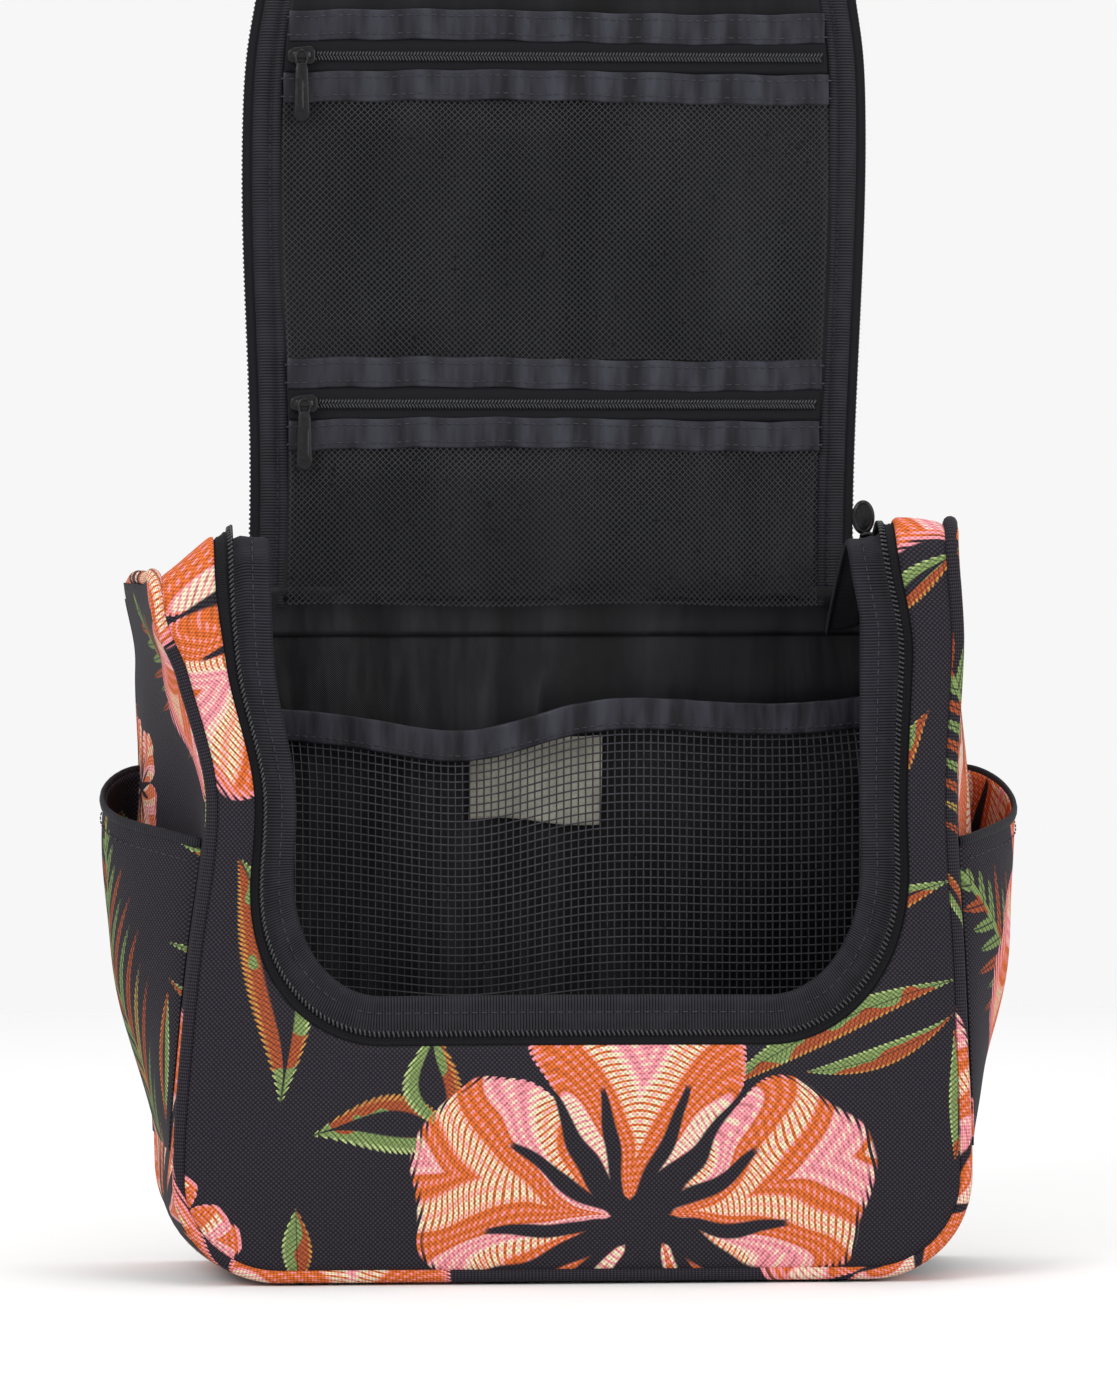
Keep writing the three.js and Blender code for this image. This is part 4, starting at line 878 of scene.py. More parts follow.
nylon, bench, surface, _ = finish_of("zip_coil_nylon", 0.28)
place = bench.object_place()
cloudy = bench.node("TexNoise", place, None, 0.6, 2.0, out=0)
bench.plug(surface.inputs["Base Color"], bench.mix(cloudy, srgb("0e0e10"), srgb("28282c")))
bench.plug(surface.inputs["Roughness"], bench.step(cloudy, 0.2, 0.8, 0.2, 0.38))
surface.inputs["Specular IOR Level"].default_value = 0.45


def ribbon(name, lines, along, material, thickness=0.6):
    """A woven strip: its long lines, side by side, joined into one sheet. Its cloth map runs with it."""
    points = np.stack(lines, 1)
    wide = np.r_[0, np.cumsum(np.linalg.norm(np.diff(points, axis=1), axis=2).mean(0))]
    cut = np.stack(np.broadcast_arrays(along[:, None], wide[None]), -1)
    piece = thicken(lay_grid(name, points, cut), thickness, 0.0)
    piece.data.materials.append(material)
    return piece


zip_line, _ = zip_beside(1.6, 0.0)
zip_along = length_along(zip_line)
tape_profile = [
    (0.9, 2.5), (2.6, 2.5), (3.0, 2.15), (3.5, 2.5), (4.2, 2.5), (4.6, 2.2), (5.1, 2.5), (9.0, 2.6)
]
tape_lines = [slump(zip_beside(offset, depth)[0]) for offset, depth in tape_profile]
zip_tape = ribbon("zip_tape_on_bag", tape_lines, zip_along, tape_finish)
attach(zip_tape, "bag")
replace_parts(zip_tape, "zip_tape_body")


def zip_coil(name, inner, outer, lift, body, half_high=0.75, *nodes):
    """The coil's loops: a bead across the coil every 1.5 mm, from the inner line to the outer one."""
    first, last = evenly(inner, 1.5), evenly(outer, 1.5)
    count = min(len(first), len(last))
    at_first, at_last = np.linspace(0, 1, len(first)), np.linspace(0, 1, len(last))
    share = np.linspace(0, 1, count)
    first = np.stack([np.interp(share, at_first, first[:, k]) for k in range(3)], -1)
    last = np.stack([np.interp(share, at_last, last[:, k]) for k in range(3)], -1)
    at_line = np.linspace(0, 1, len(lift))
    up = np.stack([np.interp(share, at_line, lift[:, k]) for k in range(3)], -1)
    across = last - first
    half = float(np.linalg.norm(across, axis=1).mean()) / 2
    coil = beads(name, (first + last) / 2, across, up, half, 0.46, half_high)
    return sewn(coil, nylon, "zipper_teeth", body, *nodes)


coil_lift = unit(zip_beside(1.6, 0.0)[0] - zip_beside(1.6, 2.0)[0])
zip_coil(
    "zip_coil_on_bag", slump(zip_beside(0.7, 1.5)[0]), slump(zip_beside(2.5, 1.5)[0]), coil_lift, "bag",
    0.75, "zip_teeth_body",
)

# ---------------------------------------------------------------------------
# Opening binding: the raw edges of front cloth, tape and lining are bound with
# grosgrain ribbon, which stands inside the opening as a flat ribbed flange with
# one stitched row, eased round the two lower corners in small tucks.
# ---------------------------------------------------------------------------
flange_profile = [(2.2, 4.6), (1.4, 5.4), (0.5, 6.1), (-1.2, 6.0), (-2.6, 6.4), (-4.6, 6.7), (-6.8, 6.6),
                  (-8.3, 6.5), (-9.2, 6.9), (-9.7, 7.7), (-9.3, 8.5)]
tucks = 0.45 * np.sin(zip_along / 2.9) * ease(np.abs(zip_beside(0, 0)[0][:, 0]), 40, 70)
tucks = tucks * (1 - ease(zip_beside(0, 0)[0][:, 2], 110, 140)) + 0.25 * np.sin(zip_along / 11.0)
flange_lines = []
for offset, depth in flange_profile:
    line = zip_beside(offset, depth)[0]
    line = line - coil_lift * (tucks * ease(-offset, -1, 8))[:, None]
    flange_lines.append(slump(line))
flange = ribbon("opening_binding_ribbon", flange_lines, zip_along, grosgrain, 0.7)
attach(flange, "bag")
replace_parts(flange, "opening_binding")
stitches("opening_binding_stitches", slump(zip_beside(-4.6, 6.25)[0]), coil_lift, "bag", 3.0, 1.9)

# ---------------------------------------------------------------------------
# Linings: thin black satin behind the front, sides, base and back. It is cut a
# little full, so it hangs in soft upright folds where nothing holds it.
# ---------------------------------------------------------------------------
satin_folds, put, give = new_group("satin_folds", {"Place": "v", "Fold": "f"}, {"Height": "f", "Fold_Light": "f"})
stretched = satin_folds.vector("MULTIPLY", put["Place"], (1.0, 0.22, 1.0))
billow = satin_folds.node("TexNoise", stretched, None, put["Fold"], 3.0, noise_dimensions="2D", out=0)
fine = satin_folds.node("SeparateXYZ", put["Place"]).node.outputs
warp_lines = satin_folds.sine(satin_folds.times(satin_folds.plus(fine[0], fine[1]), 9.0))
satin_folds.plug(give["Height"], satin_folds.times_plus(warp_lines, 0.012, billow))
# The second output is painted light: fold crests painted lighter as a painted highlight and hollows darker as
# painted shade, with fine diagonal lines.
satin_folds.plug(give["Fold_Light"], satin_folds.times_plus(warp_lines, 0.06, billow))


def satin_finish(name, dark, light, fold, depth, roughness=0.36):
    """Satin: painted shade in the fold hollows and a painted highlight on the crests, glossy, with folds as
    large as asked.
    """
    material, bench, surface, cloth = finish_of(name, roughness)
    folds = bench.group(satin_folds.tree, Place=cloth, Fold=fold)
    # Base colour: painted shade in the fold hollows, painted highlight on the crests.
    bench.plug(
        surface.inputs["Base Color"],
        bench.mix(bench.step(folds["Fold_Light"], 0.25, 0.8), srgb(dark), srgb(light))
    )
    bench.plug(
        surface.inputs["Roughness"], bench.step(folds["Fold_Light"], 0.2, 0.8, roughness + 0.12, roughness - 0.06)
    )
    bench.plug(surface.inputs["Normal"], bench.bump(0.6, depth, folds["Height"]))
    surface.inputs["Specular IOR Level"].default_value = 0.14
    return material


satin = satin_finish("black_satin", "050507", "151519", 0.045, 0.005)
inner_seam, _ = u_route(4.4, HALF_FRONT - 4.6, 4.2, 26.5, 26.5, SHOULDER_FALL, True)
inner_edge, _ = zip_beside(1.8, 4.5)
front_share = np.linspace(0, 1, 18)[None, :, None]
lining_grid = inner_edge[:, None] * (1 - front_share) + inner_seam[:, None] * front_share
lining_grid[..., 1] += 0.5 * np.sin(lining_grid[..., 0] / 9) * np.sin(np.pi * front_share[..., 0])
front_lining = lay_grid("front_lining_satin", slump(lining_grid), lining_grid[..., ::2])
sewn(thicken(outwards(front_lining, MIDDLE), 0.5), satin, "satin_lining", "bag", "lining_front")
for hand, name in ((-1, "left"), (1, "right")):
    points, cut = side_wall(hand, 4.2, FRONT + 4.0, BACK - 3.0)
    lining = lay_grid("side_lining_satin_" + name, slump(points), cut)
    sewn(thicken(outwards(lining, MIDDLE), 0.5), satin, "satin_lining", "bag", "lining_" + name)
floor_lining_y = np.linspace(FRONT + 4.0, BACK - 3.0, 20)[:, None]
floor_lining_x = np.linspace(-1, 1, 40)[None] * (half_width(floor_lining_y) - BASE_CORNER + 4)
ripple = 3.9 + 0.2 * np.sin(floor_lining_x / 13 + floor_lining_y / 9)
floor_lining_grid = np.stack(np.broadcast_arrays(floor_lining_x, floor_lining_y, ripple), -1)
floor_lining = lay_grid("floor_lining_satin", slump(floor_lining_grid), floor_lining_grid[..., :2])
sewn(
    thicken(outwards(floor_lining, MIDDLE + [0, 0, -300]), 0.5), satin, "satin_lining", "bag",
    "lining_bottom"
)
lining_x, lining_z, _ = back_sheet(BACK - 3, 4.2, 90)
lining_z = np.minimum(lining_z, 206.0)
free = ease(lining_z, 140, 176) * (1 - ease(lining_z, 184, 196))
hang = 1.5 * free * np.sin(lining_x / 8.5 + 0.7 * np.sin(lining_x / 21)) * np.exp(
    -((lining_x - 8) / 95) ** 2
)
hang = hang + 0.5 * np.sin(lining_x / 17 + lining_z / 40) + 0.4 * np.sin(lining_z / 11 - lining_x / 31)
hang = hang * (1 - ease(lining_z, 190, 200))
back_lining_grid = np.stack([lining_x, 40.2 - np.abs(hang), lining_z], -1)
back_lining = lay_grid("back_lining_satin", slump(back_lining_grid), back_lining_grid[..., ::2])
sewn(
    thicken(outwards(back_lining, np.array([0, 400.0, 100])), 0.5), satin, "satin_lining", "bag",
    "lining_back"
)

# ---------------------------------------------------------------------------
# Inner pocket: an open net of square mesh across the back, gathered into a satin
# hem that sags between its ends, with a woven care label (left blank) behind it.
# ---------------------------------------------------------------------------
net_yarn, bench, surface, _ = finish_of("net_yarn", 0.34)
place = bench.object_place()
knots = bench.node("TexNoise", place, None, 0.5, 2.0, out=0)
bench.plug(surface.inputs["Base Color"], bench.mix(knots, srgb("17161a"), srgb("3d3c42")))
bench.plug(surface.inputs["Roughness"], bench.step(knots, 0.2, 0.8, 0.26, 0.45))
surface.inputs["Specular IOR Level"].default_value = 0.38


def hem_height(x):
    """The hem's top edge: it sags left of the middle and rises to the right."""
    t = np.clip(x, -100, 100)
    return 180.5 + 0.022 * t - 7.5 * np.exp(-(((t + 28) / 30) ** 2)) + 1.2 * np.sin(t / 19 + 1.0)


def pocket_face(x, z):
    """How far back the pocket's face hangs: it bellies forwards, with slack ripples below the hem."""
    belly = np.clip(np.cos(np.pi * x / 204), 0, 1) * (0.4 + 0.6 * ease(z, 10, 150))
    return 32.4 - 3.6 * belly + 0.7 * np.sin(x / 12 + z / 55) * ease(z, 60, 170)


def threads(name, lines, radius, body):
    """Yarns of three faces each: lines is yarns by points by place, a triangle of points round each."""
    run = unit(np.gradient(lines, axis=1))
    first = unit(np.cross(run, np.broadcast_to([0.06, 0.98, 0.15], run.shape)))
    second = np.cross(run, first)
    turn = np.linspace(0, 2 * np.pi, 3, endpoint=False)[None, None, :, None]
    ring = lines[:, :, None] + radius * (
        np.cos(turn) * first[:, :, None] + np.sin(turn) * second[:, :, None]
    )
    count, steps = lines.shape[:2]
    index = np.arange(count * steps * 3).reshape(count, steps, 3)
    nxt = np.roll(index, -1, 2)
    faces = np.stack([index[:, :-1], nxt[:, :-1], nxt[:, 1:], index[:, 1:]], -1).reshape(-1, 4)
    ends = np.vstack([index[:, 0], index[:, -1][:, ::-1]])
    mesh = bpy.data.meshes.new(name)
    mesh.from_pydata((ring.reshape(-1, 3) * 0.001).tolist(), [], faces.tolist() + ends.tolist())
    mesh.polygons.foreach_set("use_smooth", np.ones(len(mesh.polygons), bool))
    mesh.update()
    piece = bpy.data.objects.new(name, mesh)
    bpy.context.scene.collection.objects.link(piece)
    volume_check(piece)
    sewn(piece, net_yarn, "mesh_net", body)
    return piece


columns = np.arange(-100, 100.1, 2.35)
rows = np.arange(0, 1.0001, 1 / 62)
upright_x, upright_share = np.meshgrid(columns, rows, indexing="ij")
upright_z = 4 + upright_share * (hem_height(upright_x) - 9 - 4)
upright = np.stack([upright_x, pocket_face(upright_x, upright_z), upright_z], -1)
threads("inner_net_upright", slump(upright), 0.34, "bag")
level_share, level_x = np.meshgrid(rows, columns, indexing="ij")
level_z = 4 + level_share * (hem_height(level_x) - 9 - 4)
level = np.stack([level_x, pocket_face(level_x, level_z) - 0.12, level_z], -1)
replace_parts(threads("inner_net_level", slump(level), 0.32, "bag"), "mesh_pocket_inner")


def strap(name, path, side, lift, wide, thick, material, corner=0.3):
    """A flat strap: a rounded oblong of a width and a thickness carried along a path, its cloth map running
    with it. side points across the strap and lift out of its face."""
    turn = np.linspace(0, 2 * np.pi, 22, endpoint=False)
    over = np.sign(np.cos(turn)) * np.abs(np.cos(turn)) ** corner * 0.5
    high = np.sign(np.sin(turn)) * np.abs(np.sin(turn)) ** 0.6 * 0.5
    wide, thick = np.broadcast_to(wide, (len(path),)), np.broadcast_to(thick, (len(path),))
    side, lift = np.broadcast_to(side, path.shape), np.broadcast_to(lift, path.shape)
    points = path[:, None] + side[:, None] * (over[None] * wide[:, None])[..., None]
    points = points + lift[:, None] * (high[None] * thick[:, None])[..., None]
    cut = np.stack(np.broadcast_arrays(length_along(path)[:, None], over[None] * wide.max()), -1)
    piece = close_ends(lay_grid(name, points, cut, wrap_columns=True), 22)
    piece.data.materials.append(material)
    return volume_check(piece)


trim_satin = satin_finish("hem_satin", "131317", "36363e", 0.12, 0.0014, 0.33)
hem_x = np.linspace(-101, 101, 240)
pucker = 0.5 * np.sin(hem_x / 1.9) + 0.4 * np.sin(hem_x / 3.1 + 1)
hem_path = np.stack([hem_x, pocket_face(hem_x, 176.0) - 0.3 + 0.35 * pucker, hem_height(hem_x) - 5.0], -1)
hem = strap(
    "inner_pocket_hem", slump(hem_path), [0, 0, 1.0], [0, -1.0, 0], 10.2 + 0.2 * pucker, 2.2 + 0.4 * pucker,
    trim_satin
)
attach(hem, "bag")
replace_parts(hem, "mesh_pocket_hem")
stitches("inner_hem_stitches", slump(hem_path + [0, -1.3, -3.2]), np.array([0, -1.0, 0]), "bag", 2.6, 1.7)

label_finish, bench, surface, cloth = finish_of("woven_label", 0.5)
woven = bench.group(PLAIN_WEAVE, Place=cloth, Pitch=0.5)
aged = bench.node("TexNoise", cloth, None, 0.1, 2.0, noise_dimensions="2D", out=0)
# Base colour: the label's tone times the weave's painted crest highlight and painted hollow shade.
bench.plug(
    surface.inputs["Base Color"],
    bench.mix(1.0, bench.mix(aged, srgb("7b796f"), srgb("a5a295")), woven["Weave_Light_And_Slub"], "MULTIPLY")
)
bench.plug(surface.inputs["Roughness"], bench.step(aged, 0.2, 0.8, 0.42, 0.6))
bench.plug(surface.inputs["Normal"], bench.bump(0.3, 0.0001, woven["Height"]))
label_u, label_v = np.meshgrid(np.linspace(0, 1, 40), np.linspace(0, 1, 28), indexing="ij")
label_x = -29.5 + 43 * label_u + 0.6 * label_v
label_z = 142.5 + 27 * label_v - 2.0 * label_u * (1 - label_v) + 0.8 * np.sin(label_u * 6)
label_y = 37.4 - 1.3 * np.sin(label_u * 7 + label_v) * np.sin(np.pi * label_v) - 0.5 * (1 - label_v)
label = lay_grid(
    "care_label_woven", slump(np.stack([label_x, label_y, label_z], -1)), np.stack([label_x, label_z], -1)
)
sewn(
    thicken(outwards(label, np.array([0, 400.0, 150])), 0.35), label_finish, "care_label", "bag",
    "care_label"
)

# ---------------------------------------------------------------------------
# Lid cover: one cut of printed canvas over thin foam. It is sewn to the back's top
# edge and ends in the tip whose outline matches the U of the opening. Its edge is
# folded in over the zip tape.
# ---------------------------------------------------------------------------
hinge = np.array(frame["joints"][0]["pos_m"]) * 1000
LEAN, FOLD_AT, TIP_AT = math.radians(3), 92.68, 260.09


def on_lid(x, n, s):
    """From the lid's own measures, across x, outwards n and along s from the hinge, to the bag's. The right
    edge draws in towards the hinge, where the zip pulls on it, and both edges below the tip's corners."""
    x, n, s = np.broadcast_arrays(np.asarray(x, float), n, s)
    x = x - 5.0 * ease(x, 30, 102) * (1 - ease(s, 20, 160)) + 1.2 * ease(-x, 30, 102) * np.sin(s / 30)
    x = x * (1 - 0.038 * np.exp(-(((s - 212) / 22) ** 2)))
    y = hinge[1] + s * math.sin(LEAN) + n * math.cos(LEAN)
    z = hinge[2] + s * math.cos(LEAN) - n * math.sin(LEAN)
    return np.stack([x, y, z], -1)


def lid_half(s, inset):
    """Half the lid's width at s: straight, then the quarter ellipse of the tip's corners."""
    wide, high = 41.0 - inset, 53.0 - inset
    t = np.clip((s - (TIP_AT - 53.0)) / high, 0, 1)
    return 102.0 - inset - wide * (1 - np.sqrt(1 - t * t))


def lid_edge(inset, n, start=3.0):
    """A route round the lid's edge at an inset: up the left side, round the tip, down the right side."""
    turn = np.linspace(0, np.pi / 2, 40)[1:]
    wide, high = 41.0 - inset, 53.0 - inset
    s = np.r_[np.linspace(start, TIP_AT - 53.0, 110), TIP_AT - 53.0 + high * np.sin(turn)]
    x = np.r_[np.full(110, 102.0 - inset), 102.0 - inset - wide * (1 - np.cos(turn))]
    s, x = np.r_[s, np.full(30, TIP_AT - inset)], np.r_[x, np.linspace(x[-1], 0, 31)[1:]]
    return on_lid(np.r_[-x, x[::-1][1:]], n, np.r_[s, s[::-1][1:]])


def over_fold(piece):
    """Bakes the piece's placement into its mesh. The crease's two ends are worked out but not used."""
    start, end = on_lid(0, 0, FOLD_AT - 9), on_lid(0, 0, FOLD_AT + 9)
    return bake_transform(piece)


BEHIND_LID = np.array([0.0, -300.0, 330.0])
lid_s = np.r_[
    np.linspace(1.5, 78, 34), np.linspace(80, 106, 22), np.linspace(109, 246, 60), np.linspace(248, 255.2, 8)
][
    :, None
]
lid_t = np.sin(np.linspace(-np.pi / 2, np.pi / 2, 72))[None]
lid_x = lid_half(lid_s, 4.9) * lid_t
rim_gap = np.minimum(lid_half(lid_s, 4.9) * (1 - np.abs(lid_t)), TIP_AT - 4.9 - lid_s)
rim_roll = 2.6 * (1 - np.sqrt(1 - (1 - np.clip(rim_gap / 3.0, 0, 1)) ** 2))
cushion = 2.2 * (1 - lid_t**4) * ease(TIP_AT - lid_s, 4, 40) * ease(lid_s, 0, 30)
lid_n = 0.8 + cushion - rim_roll + 0.4 * np.sin(lid_x / 19 + lid_s / 27) * ease(rim_gap, 0, 20)
lid_cut = np.stack([-lid_x, lid_s + 0 * lid_x], -1) + [40, 20]
lid_cover = lay_grid("lid_cover_cloth", on_lid(lid_x, lid_n, lid_s), lid_cut)
thicken(outwards(lid_cover, BEHIND_LID), 1.0)
sewn(
    lid_cover, canvas, "printed_canvas", None, "lid_top_shell", "lid_front_shell", "lid_top_pad",
    "lid_front_pad"
)
over_fold(lid_cover)

hinge_t = np.linspace(-1, 1, 60)[None]
hinge_profile = np.array(
    [[45.2, 200.0], [45.0, 204.0], [44.2, 207.0], [43.6, 209.5], [43.9, 212.0], [44.6, 216.0]]
)
hinge_grid = np.stack(np.broadcast_arrays(96.5 * hinge_t, hinge_profile[:, :1], hinge_profile[:, 1:]), -1)
hinge_cut = np.stack([-hinge_grid[..., 0], hinge_grid[..., 2]], -1) + [150, 40]
hinge_cloth = lay_grid("hinge_cloth", hinge_grid, hinge_cut)
thicken(outwards(hinge_cloth, BEHIND_LID), 0.9)
sewn(hinge_cloth, canvas, "printed_canvas", None)
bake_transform(hinge_cloth)

# ---------------------------------------------------------------------------
# Lid lining: black satin over the foam, in folds, crossing the crease in one
# piece, and carried down over the hinge to the top of the back's lining.
# ---------------------------------------------------------------------------
lining_s = np.r_[np.linspace(5, 80, 30), np.linspace(82, 104, 20), np.linspace(107, 247.6, 60)][:, None]
lining_x = lid_half(lining_s, 12.3) * np.linspace(-1, 1, 70)[None]
lining_n = -4.9 + 0.5 * np.sin(lining_x / 14 + lining_s / 21) + 0.35 * np.sin(
    lining_x / 6.3 - lining_s / 33
)
lid_lining_grid = on_lid(lining_x, lining_n, lining_s)
lid_lining = lay_grid(
    "lid_lining_satin", lid_lining_grid, np.stack([lining_x, lining_s + 0 * lining_x], -1)
)
thicken(outwards(lid_lining, np.array([0, 500.0, 330.0])), 0.5)
sewn(lid_lining, satin, "satin_lining", None, "lid_top_lining", "lid_front_lining")
over_fold(lid_lining)
strip_profile = np.array(
    [
        [39.1, 202.0], [39.0, 204.0], [38.9, 206.0], [38.9, 208.0], [38.0, 211.5], [37.4, 214.5],
        [37.3, 218.0]
    ]
)
strip_x = 106.0 * hinge_t
strip_y = strip_profile[:, :1] - 0.25 * np.sin(strip_x / 8.5 + 0.7) * ease(212 - strip_profile[:, 1:], 0, 8)
strip_grid = np.stack(np.broadcast_arrays(strip_x, strip_y, strip_profile[:, 1:]), -1)
strip = lay_grid("hinge_lining_satin", strip_grid, strip_grid[..., ::2])
thicken(outwards(strip, np.array([0, 500.0, 205.0])), 0.5)
sewn(strip, satin, "satin_lining", None)
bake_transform(strip)

# ---------------------------------------------------------------------------
# Lid edge: the zip's other tape and coil, and inside them the ribbed ribbon that
# binds cover, foam, tape and lining. A welt runs along it: a wide ridge and a
# narrow one with the stitched groove between.
# ---------------------------------------------------------------------------
lid_along = length_along(lid_edge(1.6, 0.0))
lid_tape_profile = [
    (0.9, -1.5), (2.4, -1.6), (2.9, -2.0), (3.4, -1.7), (4.2, -1.8), (4.6, -2.2), (5.1, -1.9), (8.8, -2.0)
]
lid_tape = ribbon(
    "zip_tape_on_lid", [lid_edge(i, n) for i, n in lid_tape_profile], lid_along, tape_finish
)
over_fold(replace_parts(lid_tape, "zip_tape_lid_left", "zip_tape_lid_right", "zip_tape_lid_front"))
lid_lift = np.broadcast_to([0.0, -math.cos(LEAN), math.sin(LEAN)], (len(lid_edge(0, 0)), 3))
lid_coil = zip_coil(
    "zip_coil_on_lid", lid_edge(2.5, -0.45), lid_edge(0.6, -0.45), lid_lift, None, 0.7,
    "zip_teeth_lid_left", "zip_teeth_lid_right", "zip_teeth_lid_front",
)
over_fold(lid_coil)
welt_profile = [(4.3, -2.0), (4.6, -3.1), (5.6, -4.1), (7.2, -4.5), (8.8, -4.1), (9.7, -3.1), (10.3, -3.9),
                (11.4, -4.8), (12.6, -4.7), (13.3, -4.2)]
wander = 0.22 * np.sin(lid_along / 17.0)
welt_lines = [lid_edge(i, n + wander) for i, n in welt_profile]
welt = ribbon("lid_binding_ribbon", welt_lines, lid_along, grosgrain, 0.6)
over_fold(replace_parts(welt, "lid_top_binding_left", "lid_top_binding_right", "lid_front_binding"))
over_fold(stitches("lid_binding_stitches", lid_edge(9.7, -3.35), lid_lift, None, 2.8, 1.8, 0.2))

# ---------------------------------------------------------------------------
# Lid pockets: two flat pockets of knitted diamond net. Each opens by a light coil
# zip between two puckered satin trims, each trim held by two stitched rows.
# ---------------------------------------------------------------------------
KNIT = 1.0


def diamond_net(name, low, high, body, *nodes):
    """Knitted net: yarn after yarn runs along s and swings left and right in a triangle wave, neighbours in
    opposite time, so they meet at every stitch and leave a diamond between."""
    across = np.arange(-88.0, 88.1, KNIT)
    steps = np.arange(low, high + 0.01, KNIT)
    yarn, step = np.meshgrid(np.arange(len(across)), np.arange(len(steps)), indexing="ij")
    x = across[yarn] + KNIT * 0.46 * np.where((yarn + step) % 2 == 0, 1.0, -1.0)
    s = steps[step] + 0.5 * np.sin(x / 15)
    slack = ease(s, low, low + 12) * ease(high - s, 0, 12) * ease(88 - np.abs(x), 0, 15)
    n = -7.0 - slack * (0.9 + 0.8 * np.sin(x / 23 + s / 19) + 0.4 * np.sin(x / 9 - s / 15))
    net = threads(name, on_lid(x, n, s), 0.2, body)
    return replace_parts(net, *nodes)


def satin_trim(name, s, body, node):
    """A folded satin strip across the lid, puckered by its two stitched rows."""
    x = np.linspace(-88.6, 88.6, 300)
    gather = 0.35 * np.sin(x / 1.7 + np.sin(x / 11)) + 0.3 * np.sin(x / 3.3 + s)
    path = on_lid(x, -7.0 + 0.3 * gather, s + 0.7 * np.sin(x / 30 + s) + 0.2 * np.sin(x / 4.1))
    trim = strap(
        name, path, [0, 0, 1.0], [0, -1.0, 0], 9.9 + 0.25 * gather, 1.7 + 0.35 * gather, trim_satin,
    )
    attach(trim, body)
    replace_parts(trim, node)
    for row, offset in enumerate((-2.9, 2.9)):
        line = path + np.array([0, -1.05, offset])
        stitches(f"{name}_stitches_{row}", line, np.array([0, -1.0, 0]), body, 2.7, 1.7)


def pocket_zip(name, s, body, tape_node, coil_node):
    """The pocket's zip: a woven tape between the trims and a closed coil of slanting loops, two by two."""
    x = np.linspace(-88.5, 88.5, 150)
    lines = [on_lid(x, -6.5 - 0.15 * (k % 2), s + k * 1.9 - 5.7) for k in range(7)]
    tape = ribbon(name + "_tape", lines, x + 90, tape_finish, 0.5)
    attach(tape, body)
    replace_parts(tape, tape_node)
    loops = np.arange(-87.0, 87.0, 1.05)
    ends = []
    for side in (-1, 1):
        centre = on_lid(loops + 0.26 * side, -7.55, s + 0.72 * side)
        ends.append((centre, np.broadcast_to([0.5, 0, 1.0 * side], centre.shape)))
    centres = np.vstack([e[0] for e in ends])
    runs = np.vstack([e[1] for e in ends])
    coil = beads(name + "_coil", centres, runs, np.broadcast_to([0, -1.0, 0], runs.shape), 0.95, 0.4, 0.6)
    sewn(coil, nylon, "zipper_teeth", body, coil_node)


diamond_net("lower_pocket_net", 3.5, 55.5, "lid_top", "pocket_mesh_lower")
satin_trim("lower_trim_a", 58.9, "lid_top", "pocket_trim_lower_a")
pocket_zip("lower_pocket_zip", 68.7, "lid_top", "pocket_zip_tape_lower", "pocket_coil_lower")
satin_trim("lower_trim_b", 78.5, "lid_top", "pocket_trim_lower_b")
over_fold(diamond_net("upper_pocket_net", 83.0, 168.5, None, "pocket_mesh_upper"))
satin_trim("upper_trim_a", 171.9, "lid_front", "pocket_trim_upper_a")
pocket_zip("upper_pocket_zip", 181.7, "lid_front", "pocket_zip_tape_upper", "pocket_coil_upper")
satin_trim("upper_trim_b", 191.5, "lid_front", "pocket_trim_upper_b")

# ---------------------------------------------------------------------------
# Pocket sliders and pulls: small die-cast sliders painted black, each with a
# bridge over the coil, a ring through it and a tapering pull that hangs down.
# ---------------------------------------------------------------------------
painted_metal, bench, surface, _ = finish_of("black_painted_metal", 0.3)
place = bench.object_place()
scuffs = bench.node("TexNoise", place, None, 0.9, 4.0, out=0)
bench.plug(
    surface.inputs["Base Color"], bench.mix(bench.step(scuffs, 0.55, 0.8), srgb("0b0b0d"), srgb("1f1f23"))
)
bench.plug(surface.inputs["Roughness"], bench.step(scuffs, 0.3, 0.75, 0.22, 0.5))
bench.plug(surface.inputs["Normal"], bench.bump(0.05, 0.0001, scuffs))
surface.inputs["Coat Weight"].default_value = 0.3
surface.inputs["Coat Roughness"].default_value = 0.2


def plaque(name, outline, thick, soft, place, across, up, out):
    """A flat cast part: an outline drawn in across and up, its front and back edges rounded by a quarter
    circle of radius soft, closed by a middle point on each face."""
    outline = np.asarray(outline, float)
    middle = outline.mean(0)
    turn = np.linspace(0, np.pi / 2, 5)
    level = np.r_[thick / 2 - soft + soft * np.cos(turn), -(thick / 2 - soft + soft * np.cos(turn[::-1]))]
    shrink = np.r_[soft * (1 - np.sin(turn)), soft * (1 - np.sin(turn[::-1]))]
    away = unit(outline - middle)
    rings = outline[None] - away[None] * shrink[:, None, None]
    rings = np.concatenate(
        [middle + (rings[:1] - middle) * 0.02, rings, middle + (rings[-1:] - middle) * 0.02]
    )
    level = np.r_[level[0], level, level[-1]][:, None, None]
    points = place + rings[..., :1] * across + rings[..., 1:] * up + level * out
    piece = close_ends(lay_grid(name, points, rings, wrap_columns=True), len(outline))
    return volume_check(piece)


def rounded(wide, high, corner, count=10):
    """An oblong's outline with quarter-circle corners, centred."""
    turn = np.linspace(0, np.pi / 2, count)
    quarter = np.stack(
        [wide / 2 - corner + corner * np.cos(turn), high / 2 - corner + corner * np.sin(turn)], -1
    )
    return np.vstack([quarter, (quarter * [-1, 1])[::-1], quarter * [-1, -1], (quarter * [1, -1])[::-1]])


